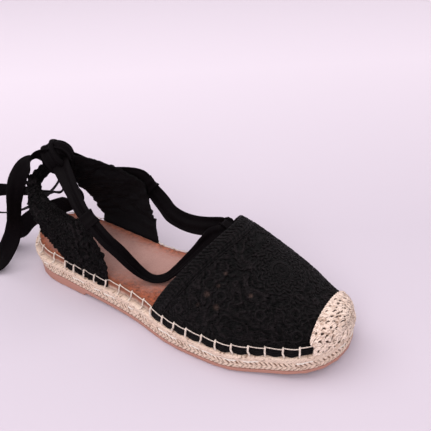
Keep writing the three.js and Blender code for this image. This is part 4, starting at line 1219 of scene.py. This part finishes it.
def build_cap():
    points = even_rows(upper_grid(cap_line, -GAP - CAP_WALL, *CAP_FINE), *CAP_GRID)
    normals = outward_normals(points, 2)
    s, t = run_lengths(points)
    # rows of uneven clusters with holes of many sizes where they meet
    uneven = noise(s.shape, (26, 52), 31)
    drift = noise(s.shape, (9, 24), 32)
    row, place = (s + 1.6 * (drift - 0.5)) / CLUSTER[0], (t + 2.2 * (uneven - 0.5)) / CLUSTER[1]
    cx = np.abs((place + 0.5 * (np.floor(row) % 2)) % 1 - 0.5)
    cy = np.abs(row % 1 - 0.5)
    size = 0.2 + 1.05 * noise(s.shape, (24, 50), 35) ** 1.2
    pit = np.hypot(cx * CLUSTER[1] * 1.1, cy * CLUSTER[0] * 0.95)
    pits = np.clip(1.7 - pit / size, 0, 1) * (size > 0.42)
    stitches = v_stitches(t + 2.15 * (np.floor(s / STITCH_ROW) % 2), s, 3.2, STITCH_ROW, 0.9)
    field = np.clip(0.35 + 0.65 * stitches - 1.1 * pits, 0, 1)
    field = mix(field, v_stitches(s, t, 2.4, 2.6, 0.8), fade(s, 1.9, 0.4))
    relief = field - 0.6 + 0.3 * (noise(s.shape, (60, 130), 9) - 0.5)
    thin = 0.55 + 0.45 * noise(s.shape, (30, 70), 41)
    # painted shade: dark in the pits, brown in the creases
    masks = {
        "deep": np.clip(1.25 * pits * smooth((s - 1.6) / 0.8), 0, 1),
        "crease": np.clip((0.62 - field) * 2.1, 0, 1) * thin,
        "lay": (t + 0.8 * np.abs(s % CLUSTER[0] - 2)) / 2.5,
        "ordered": np.full(s.shape, 0.35),
    }
    obj = shell("cap_crochet", points, normals, CAP_WALL - 0.1, relief, masks)
    finish_piece(obj, CAP_CROCHET, ["toe_cap"])


# Wings: rows and columns of the grid, steps between the table's rows, length of a scallop
WING_ROWS, WING_COLUMNS, WING_STEPS, BITE = 130, 96, 14, 5.2


# Smooth surface through the rows of a wing, with scallops bitten out of its edges
def wing_points(table, side, feet, scallop):
    u = np.linspace(0, 1, WING_COLUMNS)
    grid = []
    for drop in (LAP_DROP, LAP_DROP / 2, 0):
        x = mix(feet[0], feet[1], u)
        inset = UPPER_INSET + WING_WALL / 2 - LAP_FLARE * drop / LAP_DROP
        grid.append(np.stack([x, centre(x) + side * half_width(x, inset), edge_top(x) - drop], 1))
    unit = np.array([LENGTH, HEEL_WIDTH / 2, KNOT_HEIGHT])
    for *ends, bow in table:
        row = mix(ends[:3] * unit, ends[3:] * unit, u[:, None])
        row[:, 1] += side * bow * HEEL_WIDTH / 2 * 4 * u * (1 - u)
        grid.append(row)
    grid = np.array(grid)
    fine = np.stack([route(grid[:, j], WING_STEPS)[:, :3] for j in range(WING_COLUMNS)], 1)
    points = even_rows(fine, WING_ROWS, WING_COLUMNS)
    s, _ = run_lengths(points)
    uneven = 0.6 + 0.8 * noise(s.shape, (14, 2), 51)
    bites = scallop * uneven * (np.abs(np.sin(math.pi * s / BITE)) - 0.45) * smooth((s - 7) / 4)
    for edge, inner, share in ((-1, -1, 1.0), (0, 1, 0.5)):
        for k, weight in enumerate((1.0, 0.75, 0.5, 0.25)):
            j = edge + inner * k
            away = points[:, j] - points[:, j + 3 * inner]
            away /= np.linalg.norm(away, axis=1)[:, None]
            points[:, j] += away * (bites[:, j] * weight * share)[:, None]
    return points


# Row and column of the middle, radius of the disc, reach and petals of a wing's round motifs
WING_ROSETTES = [(58, 46, 4.5, 12.5, 18), (92, 52, 3.0, 7.5, 12), (34, 66, 3.0, 7.5, 12)]


def build_wings():
    for name, table, side, feet, scallop, node in (
            ("lateral_wing", LATERAL_WING, -1, LATERAL_FEET, 1.4, "heel_panel_lateral"),
            ("medial_wing", MEDIAL_WING, 1, MEDIAL_FEET, 0.8, "heel_panel_medial")):
        points = wing_points(table, side, feet, scallop)
        if side < 0:
            bulge_lap(points, run_lengths(points)[0])
        normals = outward_normals(points, 1, side)
        s, t = run_lengths(points)
        rear = t[:, -1:] - t
        wrinkle = 2.4 * (noise(s.shape, (26, 6), 61) - 0.5) + 1.2 * (noise(s.shape, (50, 14), 62) - 0.5)
        points = points + normals * (wrinkle * smooth((s - 12) / 10) * smooth((95 - s) / 20))[..., None]
        field, masks = crochet_field(s, t, 40 + side)
        for row, col, *motif in WING_ROSETTES:
            field = rosette(points, points[row, col], *motif, field, masks)
        for d in (t, rear):
            loops = np.maximum(ridge(d - 0.8, 0.9), v_stitches(s, d, 2.6, 3.0, 0.7))
            field = mix(field, loops, fade(d, 4.2, 0.8))
            order(masks, 0.8 * fade(d, 3.6, 0.8), (s + 0.8 * np.abs(d - 2)) / 2.9)
        # clumps of thread along and across the wing
        bend = 5.0 * noise(s.shape, (20, 9), 71)
        knobs = waves(s + bend, 4.6) * waves(t + 0.4 * s - bend, 4.2)
        clumps = smooth(knobs * 1.6) * (0.5 + noise(s.shape, (34, 16), 72))
        relief = 0.6 * field + 1.3 * clumps - 0.9 + 0.3 * (noise(s.shape, (90, 80), 7) - 0.5)
        relief = relief * np.clip(np.minimum(t, rear) / 0.8, 0, 1)
        folds = 0.22 * np.sin(s / 5.5 + 0.05 * t) * smooth((s - 10) / 20) * smooth((70 - s) / 20)
        # painted shade in the low places between the clumps and loops
        masks.update(deep=np.clip(1.05 - 0.8 * field - 0.9 * clumps, 0, 1), hole=np.zeros(s.shape))
        obj = shell(
            name, points + normals * (WING_WALL / 2), normals, WING_WALL, relief, masks, folds)
        finish_piece(obj, WING_CROCHET, [node])


# Stage: name, place, size and power of each lamp; all of them aim at one point
LAMPS = [
    ("key", (-0.5, -0.15, 1.3), 1.4, 14), ("side", (0.9, 0.9, 1.0), 1.3, 7.5),
    ("front", (0.6, -1.1, 1.0), 1.0, 14),
]
AIM = (0.08, 0, 0.02)


def build_floor():
    use()
    bpy.ops.mesh.primitive_grid_add(x_subdivisions=8, y_subdivisions=8, size=6)
    floor = bpy.context.object
    floor.name = "floor"
    material, tree, skin, place = new_material("floor", 0.9, Specular_IOR_Level=0.1)
    # painted light: the floor's colour grows lighter from the near colour to the far one towards the back
    # of the stage
    near = mottle(tree, place, 3.0, 40.0, (0.555, 0.489, 0.55), (0.545, 0.479, 0.54), 0.5)
    far = mottle(tree, place, 3.0, 40.0, (0.715, 0.635, 0.70), (0.705, 0.625, 0.69), 0.5)
    x, y, _ = node(tree, "SeparateXYZ", {0: place}).outputs
    depth = minus(tree, times(tree, y, 0.83), times(tree, x, 0.555))
    share = node(tree, "MapRange", {"Value": depth, "From Min": 0.02, "From Max": 0.40}).outputs[0]
    feed(tree, skin["Base Color"], mix_colours(tree, share, near[0], far[0]))
    floor.data.materials.append(material)


def build_lights():
    world = bpy.data.worlds.new("studio")
    world.use_nodes = True
    sky = world.node_tree.nodes["Background"].inputs
    sky[0].default_value, sky[1].default_value = (0.90, 0.85, 0.92, 1), 0.6
    bpy.context.scene.world = world
    for name, place, size, power in LAMPS:
        data = bpy.data.lights.new(name, "AREA")
        data.shape, data.size, data.energy = "SQUARE", size, power
        lamp = bpy.data.objects.new(name, data)
        bpy.context.scene.collection.objects.link(lamp)
        lamp.location = place
        away = np.array(place) - np.array(AIM)
        away /= np.linalg.norm(away)
        lamp.rotation_euler = (math.acos(away[2]), 0, math.atan2(away[0], -away[1]))
    view = bpy.context.scene.view_settings
    view.view_transform, view.look = "Standard", "None"


build_camera()
build_ribbons(build_knot())
build_keepers()
build_jute()
build_sock()
build_stitches()
build_vamp()
build_cap()
build_wings()
sole = bpy.data.objects["outsole"]
sole.data.materials.clear()
sole.data.materials.append(RUBBER_SKIN)
build_floor()
build_lights()
